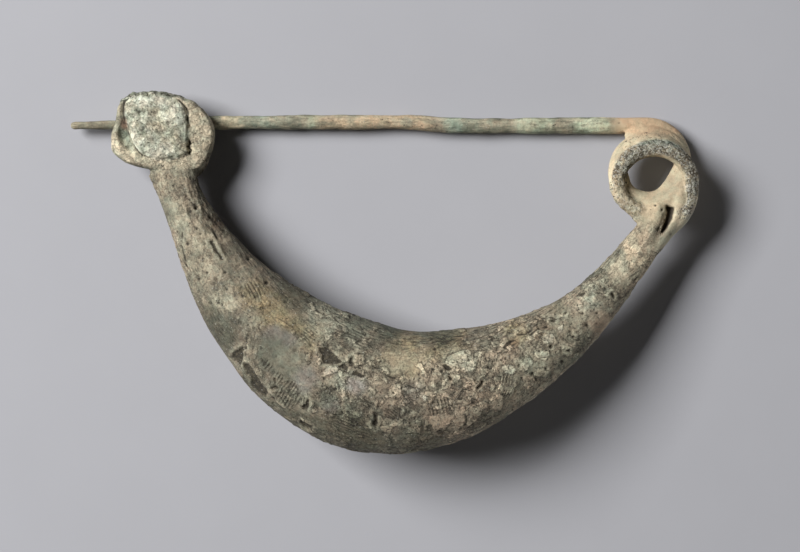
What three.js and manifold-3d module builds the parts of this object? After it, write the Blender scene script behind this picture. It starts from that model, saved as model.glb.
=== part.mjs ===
// A cast and forged bronze bow brooch (fibula) with a swollen, leech-shaped bow.
// Bow, head, catch, spring and pin are one piece of metal. Millimetres, +Z up.
// It lies on its back face, the pin parallel to X, the bow towards -Y.
// The brooch is drawn in its own flat frame first: u along the pin towards the spring,
// v across from bow to pin, w out of the front face. Then it is laid down on its three points of contact.
import * as THREE from "three";
import { mergeVertices } from "three/addons/utils/BufferGeometryUtils.js";
import Module from "manifold-3d";

const wasm = await Module();
wasm.setup();

// ---- driving dimensions ----
const bellyThickness = 18.5; // the bow across its thickest point, in the u-v plane
const bellyDepth = 17.0; // the same point, front to back
const wireThickness = 2.3; // the spring's wire
const pinLine = 21.4; // v of the pin's axis
const restTilt = THREE.MathUtils.degToRad(-6.58); // about X: the pin side sinks to the surface
const restRoll = THREE.MathUtils.degToRad(0.34); // about Y
const wornFlat = 0.3; // what is worn off each point of contact

// How finely each round rod is cut: sides round it, millimetres from section to section.
const bowCut = { sides: 26, spacing: 2.2 };
const tongueCut = { sides: 12, spacing: 1.2 };
const wireCut = { sides: 12, spacing: 1.35 };

// The bow's centreline, with its thickness and depth as shares of the belly's.
const bowStations = [
  { u: -30.4, v: 15.0, thick: 0.37, deep: 0.17 },
  { u: -29.4, v: 11.6, thick: 0.32, deep: 0.28 },
  { u: -27.5, v: 7.5, thick: 0.37, deep: 0.35 },
  { u: -25.2, v: 3.2, thick: 0.465, deep: 0.44 },
  { u: -19.6, v: -4.8, thick: 0.7, deep: 0.67 },
  { u: -11.0, v: -12.3, thick: 0.935, deep: 0.93 },
  { u: -3.2, v: -15.8, thick: 1.0, deep: 1.0 },
  { u: 4.4, v: -16.4, thick: 0.92, deep: 0.95 },
  { u: 11.5, v: -14.9, thick: 0.81, deep: 0.82 },
  { u: 20.8, v: -10.7, thick: 0.575, deep: 0.57 },
  { u: 28.0, v: -5.6, thick: 0.405, deep: 0.38 },
  { u: 33.2, v: 0.2, thick: 0.3, deep: 0.28 },
  { u: 36.8, v: 4.8, thick: 0.265, deep: 0.22 },
];

// The tongue that the bow's end leaves in front of the spring.
const tongueStations = [
  { u: 36.2, v: 4.0, w: 0.2, thick: 4.6, deep: 3.6 },
  { u: 37.5, v: 7.2, w: 1.1, thick: 3.1, deep: 2.6 },
  { u: 38.2, v: 9.4, w: 1.7, thick: 2.2, deep: 2.0 },
];

// The spring's wire leaves the bow's outer edge, winds round more than twice, and runs off as the pin.
const springStart = [
  { u: 37.6, v: 4.3, w: 0.2 },
  { u: 40.2, v: 6.6, w: 0.4 },
  { u: 42.1, v: 8.6, w: 0.7 },
  { u: 43.0, v: 10.7, w: 0.9 },
];
// The coil's centre, half width and half height as the wire goes round; turn 0 is at +u, a quarter turn at +v.
const springTurns = [
  { turn: -0.02, u: 37.9, v: 13.3, wide: 5.2, high: 4.6, w: 1.1 },
  { turn: 0.25, u: 37.9, v: 13.3, wide: 5.2, high: 4.6, w: 1.3 },
  { turn: 0.7, u: 37.9, v: 13.3, wide: 5.2, high: 4.6, w: 0.7 },
  { turn: 1.15, u: 37.5, v: 14.6, wide: 4.7, high: 4.8, w: -0.5 },
  { turn: 1.7, u: 37.5, v: 14.7, wide: 4.7, high: 4.9, w: -1.5 },
  { turn: 2.0, u: 37.2, v: 16.2, wide: 5.3, high: 5.2, w: -2.3 },
  { turn: 2.22, u: 37.1, v: 16.2, wide: 5.3, high: 5.3, w: -2.6 },
];
const stepsPerTurn = 18;

// The pin runs on from the spring, behind the head, to its worn tip.
const pinStations = [
  { u: 33.0, v: pinLine, w: -2.65, thick: 2.35 },
  { u: 19.0, v: pinLine, w: -2.6, thick: 2.25 },
  { u: 8.0, v: pinLine + 0.1, w: -2.6, thick: 2.2 },
  { u: 4.5, v: pinLine + 0.45, w: -2.6, thick: 2.15 },
  { u: -8.0, v: pinLine + 0.5, w: -2.55, thick: 2.1 },
  { u: -23.0, v: pinLine + 0.45, w: -2.5, thick: 1.9 },
  { u: -36.0, v: pinLine + 0.2, w: -2.45, thick: 1.3 },
  { u: -44.7, v: pinLine, w: -2.4, thick: 1.15 },
];
const pinInCatch = pinStations[6];

// The head: a dished plate with a thick rim, and the rough green mass that fills the dish.
const headOutline = [
  [-24.5, 19.6],
  [-25.2, 22.4],
  [-27.4, 24.7],
  [-32.0, 26.0],
  [-36.2, 25.4],
  [-38.3, 22.9],
  [-39.0, 19.4],
  [-37.6, 16.6],
  [-33.0, 14.9],
  [-26.3, 15.2],
];
const headCentre = { u: -31.8, v: 20.4 };
const headBack = -1.2;
const headFront = 1.5;
const plateBevel = 0.7;
const dishFloor = 0.3;
const dishBevel = 0.5;
const rimWidth = 1.5;
const mass = { u: -32.5, v: 21.1, radius: 4.75, back: -0.4, front: 2.0 };

// The catch: the head's plate folded back over the pin and down behind it.
const catchHalfLength = 4.6;
const catchWall = 1.0;
const catchGap = 0.3; // left round the pin
const catchFlap = 3.4; // how far the flap comes down behind the pin's axis
const catchRoot = 0.6; // how deep the fold starts inside the plate
const catchSlack = 0.2; // how far its straight part reaches below the pin's axis
const catchShoulder = 0.94; // where the arc takes over, as a share of its radius

// ---- solids ----
function solidOf(geometry) {
  const bare = geometry.clone();
  bare.deleteAttribute("normal");
  bare.deleteAttribute("uv");
  const merged = mergeVertices(bare, 1e-4);
  return new wasm.Manifold(
    new wasm.Mesh({
      numProp: 3,
      vertProperties: merged.attributes.position.array,
      triVerts: new Uint32Array(merged.index.array),
    }),
  );
}

function geometryOf(solid) {
  const mesh = solid.getMesh();
  const geometry = new THREE.BufferGeometry();
  geometry.setAttribute("position", new THREE.BufferAttribute(mesh.vertProperties, 3));
  geometry.setIndex(new THREE.BufferAttribute(mesh.triVerts, 1));
  geometry.computeVertexNormals();
  return geometry;
}

// A rod with round ends that follows the stations, with the thickness and depth that each of them gives.
function rod(stations, { sides, spacing }) {
  const line = new THREE.CatmullRomCurve3(
    stations.map((s) => new THREE.Vector3(s.u, s.v, s.w ?? 0)),
    false,
    "centripetal",
  );
  const sizes = new THREE.CatmullRomCurve3(
    stations.map((s) => new THREE.Vector3(s.thick, s.deep ?? s.thick, 0)),
    false,
    "centripetal",
  );
  line.arcLengthDivisions = 40 * stations.length;
  const steps = Math.round(line.getLength() / spacing);
  const straight = new THREE.CapsuleGeometry(1, 1, 3, sides, steps);
  const place = straight.attributes.position;
  const front = new THREE.Vector3(0, 0, 1);
  const point = new THREE.Vector3();
  for (let i = 0; i < place.count; i++) {
    const along = THREE.MathUtils.clamp(place.getY(i) + 0.5, 0, 1);
    const past = place.getY(i) + 0.5 - along; // into a round end
    const t = line.getUtoTmapping(along);
    const size = sizes.getPoint(t).multiplyScalar(0.5);
    const ahead = line.getTangent(t);
    const out = new THREE.Vector3().crossVectors(ahead, front).normalize();
    const up = new THREE.Vector3().crossVectors(out, ahead);
    line.getPoint(t, point);
    point.addScaledVector(ahead, past * Math.min(size.x, size.y));
    point.addScaledVector(out, place.getX(i) * size.x);
    point.addScaledVector(up, place.getZ(i) * size.y);
    place.setXYZ(i, point.x, point.y, point.z);
  }
  return solidOf(straight);
}

function bow() {
  const stations = bowStations.map((s) => ({
    u: s.u,
    v: s.v,
    thick: s.thick * bellyThickness,
    deep: s.deep * bellyDepth,
  }));
  return rod(stations, bowCut).add(rod(tongueStations, tongueCut));
}

// The spring at a given turn, between the two entries on either side of it.
function springAt(turn) {
  const next = springTurns.findIndex((entry) => entry.turn >= turn);
  const to = springTurns[Math.max(next, 1)];
  const from = springTurns[Math.max(next, 1) - 1];
  const share = (turn - from.turn) / (to.turn - from.turn);
  const at = (key) => THREE.MathUtils.lerp(from[key], to[key], share);
  const angle = 2 * Math.PI * turn;
  return {
    u: at("u") + at("wide") * Math.cos(angle),
    v: at("v") + at("high") * Math.sin(angle),
    w: at("w"),
    thick: wireThickness,
  };
}

function springAndPin() {
  const wire = springStart.map((s) => ({ ...s, thick: wireThickness }));
  const first = springTurns[0].turn;
  const turns = springTurns[springTurns.length - 1].turn - first;
  const steps = Math.round(turns * stepsPerTurn);
  for (let i = 0; i <= steps; i++) {
    wire.push(springAt(first + (turns * i) / steps));
  }
  return rod([...wire, ...pinStations], wireCut);
}

const outlineSteps = 36;

function outlineShape(points) {
  const closed = new THREE.CatmullRomCurve3(
    points.map(([u, v]) => new THREE.Vector3(u, v, 0)),
    true,
  );
  const points2d = closed.getSpacedPoints(outlineSteps).map((p) => new THREE.Vector2(p.x, p.y));
  return new THREE.Shape(points2d.slice(0, -1)); // the last repeats the first
}

function head() {
  const plate = new THREE.ExtrudeGeometry(outlineShape(headOutline), {
    depth: headFront - headBack - 2 * plateBevel,
    bevelThickness: plateBevel,
    bevelSize: plateBevel,
    bevelOffset: -plateBevel,
    bevelSegments: 3,
  });
  plate.translate(0, 0, headBack + plateBevel);
  const inside = headOutline.map(([u, v]) => {
    const from = new THREE.Vector2(u - headCentre.u, v - headCentre.v);
    from.setLength(from.length() - rimWidth);
    return [headCentre.u + from.x, headCentre.v + from.y];
  });
  const dish = new THREE.ExtrudeGeometry(outlineShape(inside), {
    depth: headFront,
    bevelThickness: dishBevel,
    bevelSize: dishBevel,
    bevelOffset: -dishBevel,
    bevelSegments: 2,
  });
  dish.translate(0, 0, dishFloor + dishBevel);
  return solidOf(plate).subtract(solidOf(dish)).add(greenMass());
}

// A low lump, squarer than a circle, with a worn shoulder.
function greenMass() {
  const profile = [
    new THREE.Vector2(0, mass.back),
    new THREE.Vector2(mass.radius - 0.3, mass.back),
    new THREE.Vector2(mass.radius, mass.back + 0.8),
    new THREE.Vector2(mass.radius - 0.15, mass.front - 0.7),
    new THREE.Vector2(mass.radius - 0.8, mass.front - 0.1),
    new THREE.Vector2(mass.radius - 2.2, mass.front + 0.15),
    new THREE.Vector2(0, mass.front),
  ];
  const lump = new THREE.LatheGeometry(profile, 28);
  lump.rotateX(Math.PI / 2);
  lump.translate(mass.u, mass.v, 0);
  return solidOf(lump);
}

// The catch's section in the v-w plane, run along u: over the pin and down behind it.
function catchFold() {
  const pin = pinInCatch;
  const inner = pin.thick / 2 + catchGap;
  const outer = inner + catchWall;
  const root = -pin.w + headBack + catchRoot;
  const section = new THREE.Shape();
  section.moveTo(root, catchSlack);
  section.lineTo(root, outer * catchShoulder);
  section.absarc(0, 0, outer, Math.PI * 0.25, Math.PI, false);
  section.lineTo(-outer, -catchFlap + outer);
  section.lineTo(-inner, -catchFlap + outer);
  section.lineTo(-inner, 0);
  section.absarc(0, 0, inner, Math.PI, 0, true);
  section.lineTo(inner, catchSlack);
  const fold = new THREE.ExtrudeGeometry(section, {
    depth: 2 * catchHalfLength,
    bevelEnabled: false,
    curveSegments: 10,
  });
  // section x -> w, section y -> v, extrusion -> u
  const axes = new THREE.Matrix4().makeBasis(
    new THREE.Vector3(0, 0, 1),
    new THREE.Vector3(0, 1, 0),
    new THREE.Vector3(-1, 0, 0),
  );
  fold.applyMatrix4(axes);
  fold.translate(headCentre.u + catchHalfLength, pin.v, pin.w);
  return solidOf(fold);
}

// ---- the brooch, laid down ----
const laid = new THREE.Matrix4().makeRotationFromEuler(new THREE.Euler(restTilt, restRoll, 0));
const whole = bow().add(springAndPin()).add(head()).add(catchFold());
const lowest = new THREE.Box3().setFromBufferAttribute(
  geometryOf(whole).applyMatrix4(laid).attributes.position,
).min.z;
const worn = new THREE.BoxGeometry(200, 200, 20);
worn.translate(0, 0, lowest + wornFlat - 10);
worn.applyMatrix4(laid.clone().invert());

const bronze = new THREE.MeshStandardMaterial({ color: 0x9a8f78, roughness: 0.85, metalness: 0.1 });
const fibula = new THREE.Mesh(geometryOf(whole.subtract(solidOf(worn))), bronze);
fibula.name = "fibula";

const brooch = new THREE.Group();
brooch.add(fibula);
brooch.setRotationFromMatrix(laid);
brooch.updateMatrixWorld(true);
const box = new THREE.Box3().setFromObject(brooch, true);
brooch.position.set(-(box.min.x + box.max.x) / 2, -(box.min.y + box.max.y) / 2, -box.min.z);

export default brooch;
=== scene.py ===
import math
import time

import bmesh
import bpy
import numpy as np
from mathutils import Matrix, Vector, kdtree, noise


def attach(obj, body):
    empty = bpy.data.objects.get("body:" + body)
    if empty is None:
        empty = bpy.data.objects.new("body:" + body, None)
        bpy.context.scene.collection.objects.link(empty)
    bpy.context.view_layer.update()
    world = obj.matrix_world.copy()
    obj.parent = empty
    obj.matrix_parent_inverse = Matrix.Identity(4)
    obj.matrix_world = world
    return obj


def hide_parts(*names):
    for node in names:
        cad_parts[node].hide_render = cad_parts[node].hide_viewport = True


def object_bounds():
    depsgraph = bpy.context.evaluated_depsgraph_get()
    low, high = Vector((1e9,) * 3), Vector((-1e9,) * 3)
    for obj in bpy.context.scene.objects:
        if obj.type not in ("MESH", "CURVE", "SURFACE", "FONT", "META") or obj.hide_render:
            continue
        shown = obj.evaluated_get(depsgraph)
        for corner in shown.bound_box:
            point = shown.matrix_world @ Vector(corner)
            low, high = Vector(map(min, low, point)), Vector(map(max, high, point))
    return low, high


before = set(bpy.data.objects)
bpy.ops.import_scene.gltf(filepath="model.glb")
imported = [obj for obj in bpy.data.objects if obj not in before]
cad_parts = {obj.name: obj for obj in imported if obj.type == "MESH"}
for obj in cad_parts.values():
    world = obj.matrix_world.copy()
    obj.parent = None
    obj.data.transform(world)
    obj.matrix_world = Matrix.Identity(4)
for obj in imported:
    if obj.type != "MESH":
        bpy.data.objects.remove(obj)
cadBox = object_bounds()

# The brooch is shaped flat, in millimetres: x along the pin towards the spring, y from the bow up to the pin,
# z out of the front. At the end it is laid down on its three points of contact and shrunk to metres.
lay = {
    "tilt": math.radians(-6.58),  # the pin side sinks to the table
    "roll": math.radians(0.34),
    "millimetre": 0.001,
}
startTime = time.time()


def stageDone(words):
    print(f"[{time.time() - startTime:5.1f} s] {words}")


# curves
def mix(a, b, share):
    return a + (b - a) * share


def curveSpan(points, sizes, share):
    # one span of a centripetal curve through four stations, at a share of the way from second to third
    gaps = [max((points[i + 1] - points[i]).length ** 0.5, 1e-4) for i in range(3)]
    blended = []
    for row in (points, sizes):
        before = (row[1] - row[0]) / gaps[0] - (row[2] - row[0]) / (gaps[0] + gaps[1])
        leaving = (before + (row[2] - row[1]) / gaps[1]) * gaps[1]
        after = (row[2] - row[1]) / gaps[1] - (row[3] - row[1]) / (gaps[1] + gaps[2])
        arriving = (after + (row[3] - row[2]) / gaps[2]) * gaps[1]
        bend = 2 * row[1] - 2 * row[2] + leaving + arriving
        sway = 3 * row[2] - 3 * row[1] - 2 * leaving - arriving
        blended.append(row[1] + leaving * share + sway * share ** 2 + bend * share ** 3)
    return blended


def smoothPath(stations, spacing):
    # evenly spaced (place, size) pairs on a smooth curve through the stations,
    # each x, y, z, thickness and, where it differs, depth
    places = [Vector(s[:3]) for s in stations]
    sizes = [Vector((s[3], s[-1], 0)) for s in stations]
    for row in (places, sizes):
        row.insert(0, 2 * row[0] - row[1])
        row.append(2 * row[-1] - row[-2])
    fine = []
    for i in range(len(stations) - 1):
        for k in range(16):
            fine.append(curveSpan(places[i:i + 4], sizes[i:i + 4], k / 16))
    fine.append((places[-2], sizes[-2]))
    travelled = [0.0]
    for a, b in zip(fine, fine[1:]):
        travelled.append(travelled[-1] + (b[0] - a[0]).length)
    steps = max(round(travelled[-1] / spacing), 2)
    path, i = [], 0
    for k in range(steps + 1):
        wanted = travelled[-1] * k / steps
        while i < len(fine) - 2 and travelled[i + 1] < wanted:
            i += 1
        share = (wanted - travelled[i]) / (travelled[i + 1] - travelled[i])
        path.append((fine[i][0].lerp(fine[i + 1][0], share), fine[i][1].lerp(fine[i + 1][1], share)))
    return path


def pathFrames(path):
    # for each point of a path: place, out (away from the pin side), up (towards the front), ahead, size
    frames = []
    for i, (place, size) in enumerate(path):
        ahead = (path[min(i + 1, len(path) - 1)][0] - path[max(i - 1, 0)][0]).normalized()
        out = ahead.cross(Vector((0, 0, 1))).normalized()
        frames.append((place, out, out.cross(ahead), ahead, size))
    return frames


def growRing(mesh, edges):
    # extrudes the last ring and gives back the new ring's points and edges
    grown = bmesh.ops.extrude_edge_only(mesh, edges=edges)["geom"]
    verts = [g for g in grown if isinstance(g, bmesh.types.BMVert)]
    return verts, [g for g in grown if isinstance(g, bmesh.types.BMEdge)]


def sweepRod(mesh, path, sides):
    # a rod with round ends: one circle, extruded from station to station
    frames = pathFrames(path)
    rings = []
    endSteps = (80, 55, 30)  # degrees on the round ends

    def ring(frameHere, shrink, shift):
        place, out, up, ahead, size = frameHere
        turn = Matrix((out, up, ahead)).transposed().to_4x4()
        scale = Matrix.Diagonal((size.x / 2 * shrink, size.y / 2 * shrink, 1, 1))
        return Matrix.Translation(place + ahead * shift) @ turn @ scale

    def endRings(frameHere, way):
        for angle in endSteps:
            reach = math.sin(math.radians(angle)) * min(frameHere[4].x, frameHere[4].y) / 2
            yield ring(frameHere, math.cos(math.radians(angle)), way * reach)

    rings.extend(endRings(frames[0], -1))
    rings.extend(ring(f, 1, 0) for f in frames)
    rings.extend(reversed(list(endRings(frames[-1], 1))))
    first = bmesh.ops.create_circle(mesh, cap_ends=True, segments=sides, radius=1, matrix=rings[0])
    edges = list({e for v in first["verts"] for e in v.link_edges})
    for now, then in zip(rings, rings[1:]):
        verts, edges = growRing(mesh, edges)
        bmesh.ops.transform(mesh, matrix=then @ now.inverted(), verts=verts)
    bmesh.ops.contextual_create(mesh, geom=edges)


# the bow
bow = {
    "belly": (18.5, 17.0),  # thickness across, depth front to back
    "sides": 48,
    "spacing": 1.0,
    # thickness and depth are shares of the belly's
    "stations": [
        (-30.4, 15.0, 0, 0.37, 0.17), (-29.4, 11.6, 0, 0.32, 0.28), (-27.5, 7.5, 0, 0.37, 0.35),
        (-25.2, 3.2, 0, 0.465, 0.44), (-19.6, -4.8, 0, 0.7, 0.67), (-11.0, -12.3, 0, 0.935, 0.93),
        (-3.2, -15.8, 0, 1.0, 1.0), (4.4, -16.4, 0, 0.92, 0.95), (11.5, -14.9, 0, 0.81, 0.82),
        (20.8, -10.7, 0, 0.575, 0.57), (28.0, -5.6, 0, 0.405, 0.38), (33.2, 0.2, 0, 0.3, 0.28),
        (36.8, 4.8, 0, 0.265, 0.22),
    ],
    # the tongue that the bow's end leaves in front of the spring
    "tongueSides": 24,
    "tongueSpacing": 0.6,
    "tongue": [
        (36.0, 4.2, 0.2, 4.2, 3.6), (37.6, 7.2, 0.7, 3.3, 2.8), (38.5, 9.3, 1.1, 2.4, 2.0),
    ],
}


def bowPath(spacing):
    across, through = bow["belly"]
    return smoothPath([(*s[:3], s[3] * across, s[4] * through) for s in bow["stations"]], spacing)


# the spring and pin, one wire
wire = {
    "thickness": 2.3,
    "sides": 20,
    "spacing": 0.6,
    "stepsPerTurn": 24,
    "start": [
        (37.6, 4.3, 0.2), (40.2, 6.6, 0.4), (42.1, 8.6, 0.7), (43.0, 10.7, 0.9),
    ],
    # turns made (0 at +x, a quarter at +y), the centre's x and y, half width, half height, z
    "turns": [
        (-0.02, 37.9, 13.3, 5.2, 4.6, 1.1), (0.25, 37.9, 13.3, 5.2, 4.6, 1.3),
        (0.7, 37.9, 13.3, 5.2, 4.6, 0.7), (1.15, 37.5, 14.6, 4.7, 4.8, -0.5),
        (1.7, 37.5, 14.7, 4.7, 4.9, -1.5), (2.0, 37.2, 16.2, 5.3, 5.2, -2.3),
        (2.22, 37.1, 16.2, 5.3, 5.3, -2.6),
    ],
    "pin": [
        (33.0, 21.4, -2.65, 2.35), (19.0, 21.4, -2.6, 2.25), (8.0, 21.5, -2.6, 2.2),
        (4.5, 21.85, -2.6, 2.15), (-8.0, 21.9, -2.55, 2.1), (-23.0, 21.85, -2.5, 1.9),
        (-36.0, 21.6, -2.45, 1.3), (-44.7, 21.4, -2.4, 1.15),
    ],
}


# hard earth and corrosion that fills the corners between the turns and behind the head's lower edge
fillingRods = {"sides": 20, "spacing": 0.7}
fillings = {
    "insideTheTurns": [
        (42.2, 16.4, -0.6, 1.6), (41.5, 14.4, -0.5, 2.4), (40.7, 12.4, -0.4, 3.0), (39.3, 10.8, -0.4, 3.2),
        (37.3, 10.4, -0.4, 2.9), (35.0, 11.2, -0.4, 2.6), (33.9, 12.5, -0.3, 2.1), (33.4, 14.3, -0.2, 1.9),
    ],
    "overTheInside": [
        (42.3, 14.6, 0.3, 2.2), (41.5, 12.2, 0.3, 2.8), (40.1, 10.4, 0.3, 2.9), (38.2, 9.4, 0.3, 2.7),
        (36.0, 9.2, 0.3, 2.4), (34.4, 10.2, 0.2, 1.8),
    ],
    "besideTheSlit": [
        (42.3, 13.4, 0.5, 2.0), (41.8, 11.2, 0.7, 2.7), (41.1, 9.0, 0.8, 2.7), (40.0, 7.0, 0.6, 2.7),
        (38.8, 5.2, 0.3, 2.6), (37.6, 3.9, 0.0, 2.6),
    ],
    "besideTheTongue": [
        (35.8, 8.4, 0.5, 2.0), (36.6, 8.4, 0.7, 2.4), (37.6, 8.8, 0.8, 2.4), (38.8, 9.6, 0.7, 2.2),
    ],
    "underThePinBend": [
        (34.5, 19.9, -1.5, 1.1), (36.6, 20.4, -1.4, 1.8), (40.4, 19.4, -1.3, 2.0), (42.2, 17.2, -1.2, 1.8),
        (43.0, 13.6, -1.0, 1.4),
    ],
    "betweenFrontTurns": [
        (33.2, 16.4, 0.1, 1.4), (35.2, 18.6, 0.2, 1.9), (38.0, 19.2, 0.2, 2.0), (41.0, 17.8, 0.1, 1.8),
        (42.4, 15.4, 0.0, 1.5),
    ],
    "behindHead": [
        (-29.5, 14.2, -0.9, 2.6, 1.4), (-27.3, 15.3, -0.9, 2.6, 1.4), (-26.0, 17.2, -1.0, 1.8, 1.2),
    ],
}


def springPlace(turn):
    rows = wire["turns"]
    i = next(k for k in range(1, len(rows)) if rows[k][0] >= turn - 1e-9)
    share = (turn - rows[i - 1][0]) / (rows[i][0] - rows[i - 1][0])
    middleX, middleY, wide, high, height = (mix(a, b, share) for a, b in zip(rows[i - 1][1:], rows[i][1:]))
    angle = 2 * math.pi * turn
    return middleX + wide * math.cos(angle), middleY + high * math.sin(angle), height


def wirePath(spacing):
    stations = [(*at, wire["thickness"]) for at in wire["start"]]
    first, last = wire["turns"][0][0], wire["turns"][-1][0]
    steps = round((last - first) * wire["stepsPerTurn"])
    for i in range(steps + 1):
        stations.append((*springPlace(mix(first, last, i / steps)), wire["thickness"]))
    return smoothPath(stations + wire["pin"], spacing)


# the head: a dished plate, the rough green mass in it, and the catch behind
head = {
    "centre": (-31.8, 20.4),
    "outline": [
        (-24.5, 19.6), (-25.2, 22.4), (-27.4, 24.7), (-30.0, 25.7), (-33.2, 26.1), (-36.6, 25.6),
        (-38.0, 24.3), (-38.4, 22.2), (-39.0, 19.9), (-38.8, 17.7), (-36.9, 16.0), (-33.0, 14.9),
        (-28.8, 14.4), (-26.1, 15.3),
    ],
    "back": -1.2,
    "points": 96,
}
mass = {
    "outline": [
        (-28.0, 21.8), (-28.3, 23.5), (-29.6, 24.9), (-31.8, 25.6), (-34.4, 25.6), (-36.6, 25.2),
        (-37.2, 23.9), (-37.0, 21.8), (-36.4, 19.9), (-35.7, 18.3), (-34.6, 17.1), (-33.0, 16.4),
        (-31.2, 16.3), (-28.8, 16.7), (-27.9, 17.4), (-27.9, 19.2),
    ],
    "top": 2.1,
}
catch = {
    "pin": (21.6, -2.45, 0.65),  # the pin's y, z and radius inside the fold
    "middle": -31.8,
    "halfLength": 4.6,
    "gap": 0.3,
    "wall": 1.0,
    "flap": 3.4,
}


def closedOutline(corners, steps):
    # a smooth closed curve through the corners, as (angle round the head's centre, distance) pairs
    stations = [(*c, 0, 1) for c in corners]
    path = smoothPath(stations[-2:] + stations + stations[:3], 0.05)
    centre = Vector((*head["centre"], 0))
    rows = []
    for place, _ in path:
        away = place - centre
        rows.append((math.atan2(away.y, away.x) % (2 * math.pi), away.length))
    reaches = []
    for k in range(steps):
        angle = 2 * math.pi * k / steps
        turned = [(abs((turn - angle + math.pi) % (2 * math.pi) - math.pi), reach) for turn, reach in rows]
        reaches.append(min(turned)[1])
    return reaches


def headPlate(mesh):
    steps = head["points"]
    outer = closedOutline(head["outline"], steps)
    inner = closedOutline(mass["outline"], steps)
    # (from the outline, 0, to the mass, 1; extra millimetres inwards; height)
    rows = [
        (0.0, 0.9, head["back"]), (0.0, 0.25, head["back"] + 0.25), (0.0, 0.0, head["back"] + 0.9),
        (0.0, 0.0, 0.5), (0.0, 0.12, 1.05), (0.0, 0.4, 1.4), (0.3, 0.15, 1.5), (0.6, 0.05, 1.42),
        (0.9, 0.0, 1.34), (1.0, 0.15, 1.4), (1.0, 0.4, 1.75), (1.0, 0.8, 1.9), (1.0, 1.8, mass["top"]),
        (1.0, 3.2, mass["top"]),
    ]
    centre = Vector((*head["centre"], 0))
    first = bmesh.ops.create_circle(mesh, cap_ends=True, segments=steps, radius=1)
    verts = first["verts"]
    edges = list({e for v in verts for e in v.link_edges})
    for i, (towards, inwards, height) in enumerate(rows):
        if i:
            verts, edges = growRing(mesh, edges)
        for v in verts:
            away = (v.co - centre) if i else v.co.copy()
            away.z = 0
            k = round(math.atan2(away.y, away.x) / (2 * math.pi) * steps) % steps
            reach = mix(outer[k], min(inner[k], outer[k] - 0.2), towards) - inwards
            angle = 2 * math.pi * k / steps
            v.co = centre + Vector((reach * math.cos(angle), reach * math.sin(angle), height))
    bmesh.ops.contextual_create(mesh, geom=edges)


def catchFold(mesh):
    # a strip's end face, extruded round the pin and down behind it
    pinY, pinZ, pinRadius = catch["pin"]
    inside = pinRadius + catch["gap"]
    outside = inside + catch["wall"]
    middle = (inside + outside) / 2
    route = [(pinZ + middle, -0.4), (pinZ + middle, 0.0)]  # z, y past the pin's axis
    for angle in range(15, 181, 15):
        turn = math.radians(angle)
        route.append((pinZ + middle * math.cos(turn), middle * math.sin(turn)))
    route.append((pinZ - middle, -0.9))
    route.append((pinZ - middle, -catch["flap"] + outside))
    half = catch["halfLength"]
    halfWall = catch["wall"] / 2
    corners = [(-half, -halfWall), (half, -halfWall), (half, halfWall), (-half, halfWall)]
    startZ, startY = route[0]
    verts = [mesh.verts.new((catch["middle"] + x, pinY + startY, startZ + z)) for x, z in corners]
    face = mesh.faces.new(verts)
    heading = Vector((0, 1, 0))
    for (z0, y0), (z1, y1) in zip(route, route[1:]):
        grown = bmesh.ops.extrude_face_region(mesh, geom=[face])["geom"]
        verts = [g for g in grown if isinstance(g, bmesh.types.BMVert)]
        face = next(g for g in grown if isinstance(g, bmesh.types.BMFace))
        ahead = Vector((0, y1 - y0, z1 - z0))
        bmesh.ops.translate(mesh, vec=ahead, verts=verts)
        pivot = Vector((catch["middle"], pinY + y1, z1))
        bend = heading.rotation_difference(ahead).to_matrix()
        bmesh.ops.rotate(mesh, cent=pivot, matrix=bend, verts=verts)
        heading = ahead


# one casting
casting = bmesh.new()
sweepRod(casting, bowPath(bow["spacing"]), bow["sides"])
sweepRod(casting, smoothPath(bow["tongue"], bow["tongueSpacing"]), bow["tongueSides"])
sweepRod(casting, wirePath(wire["spacing"]), wire["sides"])
for stations in fillings.values():
    sweepRod(casting, smoothPath(stations, fillingRods["spacing"]), fillingRods["sides"])
headPlate(casting)
catchFold(casting)
bmesh.ops.recalc_face_normals(casting, faces=casting.faces)
shape = bpy.data.meshes.new("leechBowBrooch")
casting.to_mesh(shape)
casting.free()
brooch = bpy.data.objects.new("leechBowBrooch", shape)
bpy.context.scene.collection.objects.link(brooch)
stageDone(f"rough shape, {len(shape.polygons)} faces")

cast = {"grain": 0.22, "quickGrain": 0.4, "triangles": 196000}
fuse = brooch.modifiers.new("fuse", "REMESH")
fuse.mode = "VOXEL"
fuse.voxel_size = cast["grain"]
fuse.use_smooth_shade = True


def takeModifiers(thing):
    settled = bpy.data.meshes.new_from_object(thing.evaluated_get(bpy.context.evaluated_depsgraph_get()))
    thing.modifiers.clear()
    old = thing.data
    thing.data = settled
    bpy.data.meshes.remove(old)


takeModifiers(brooch)
mesh = brooch.data
stageDone(f"fused, {len(mesh.polygons)} faces")


# reading the surface
def readPoints(values, field):
    flat = np.empty(len(mesh.vertices) * 3, np.float32)
    values.foreach_get(field, flat)
    return flat.reshape(-1, 3).astype(float)


def movePoints(height):
    # sculpt: every point moves along its own normal
    global places
    places = places + normals * height[:, None]
    mesh.vertices.foreach_set("co", places.astype(np.float32).ravel())
    mesh.update()


def ease(low, high, value):
    share = np.clip((value - low) / (high - low), 0, 1)
    return share * share * (3 - 2 * share)


def cloud(size, seed, octaves=1, points=None):
    # smooth noise between about -1 and 1, with lumps of the given size in millimetres
    shift = Vector((seed * 17.3, seed * -5.1, seed * 3.7))
    points = places if points is None else points
    if octaves == 1:
        rows = (noise.noise(Vector(p) / size + shift) for p in points)
    else:
        rows = (noise.fractal(Vector(p) / size + shift, 0.8, 2.1, octaves) for p in points)
    return np.fromiter(rows, float, len(points))


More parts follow.
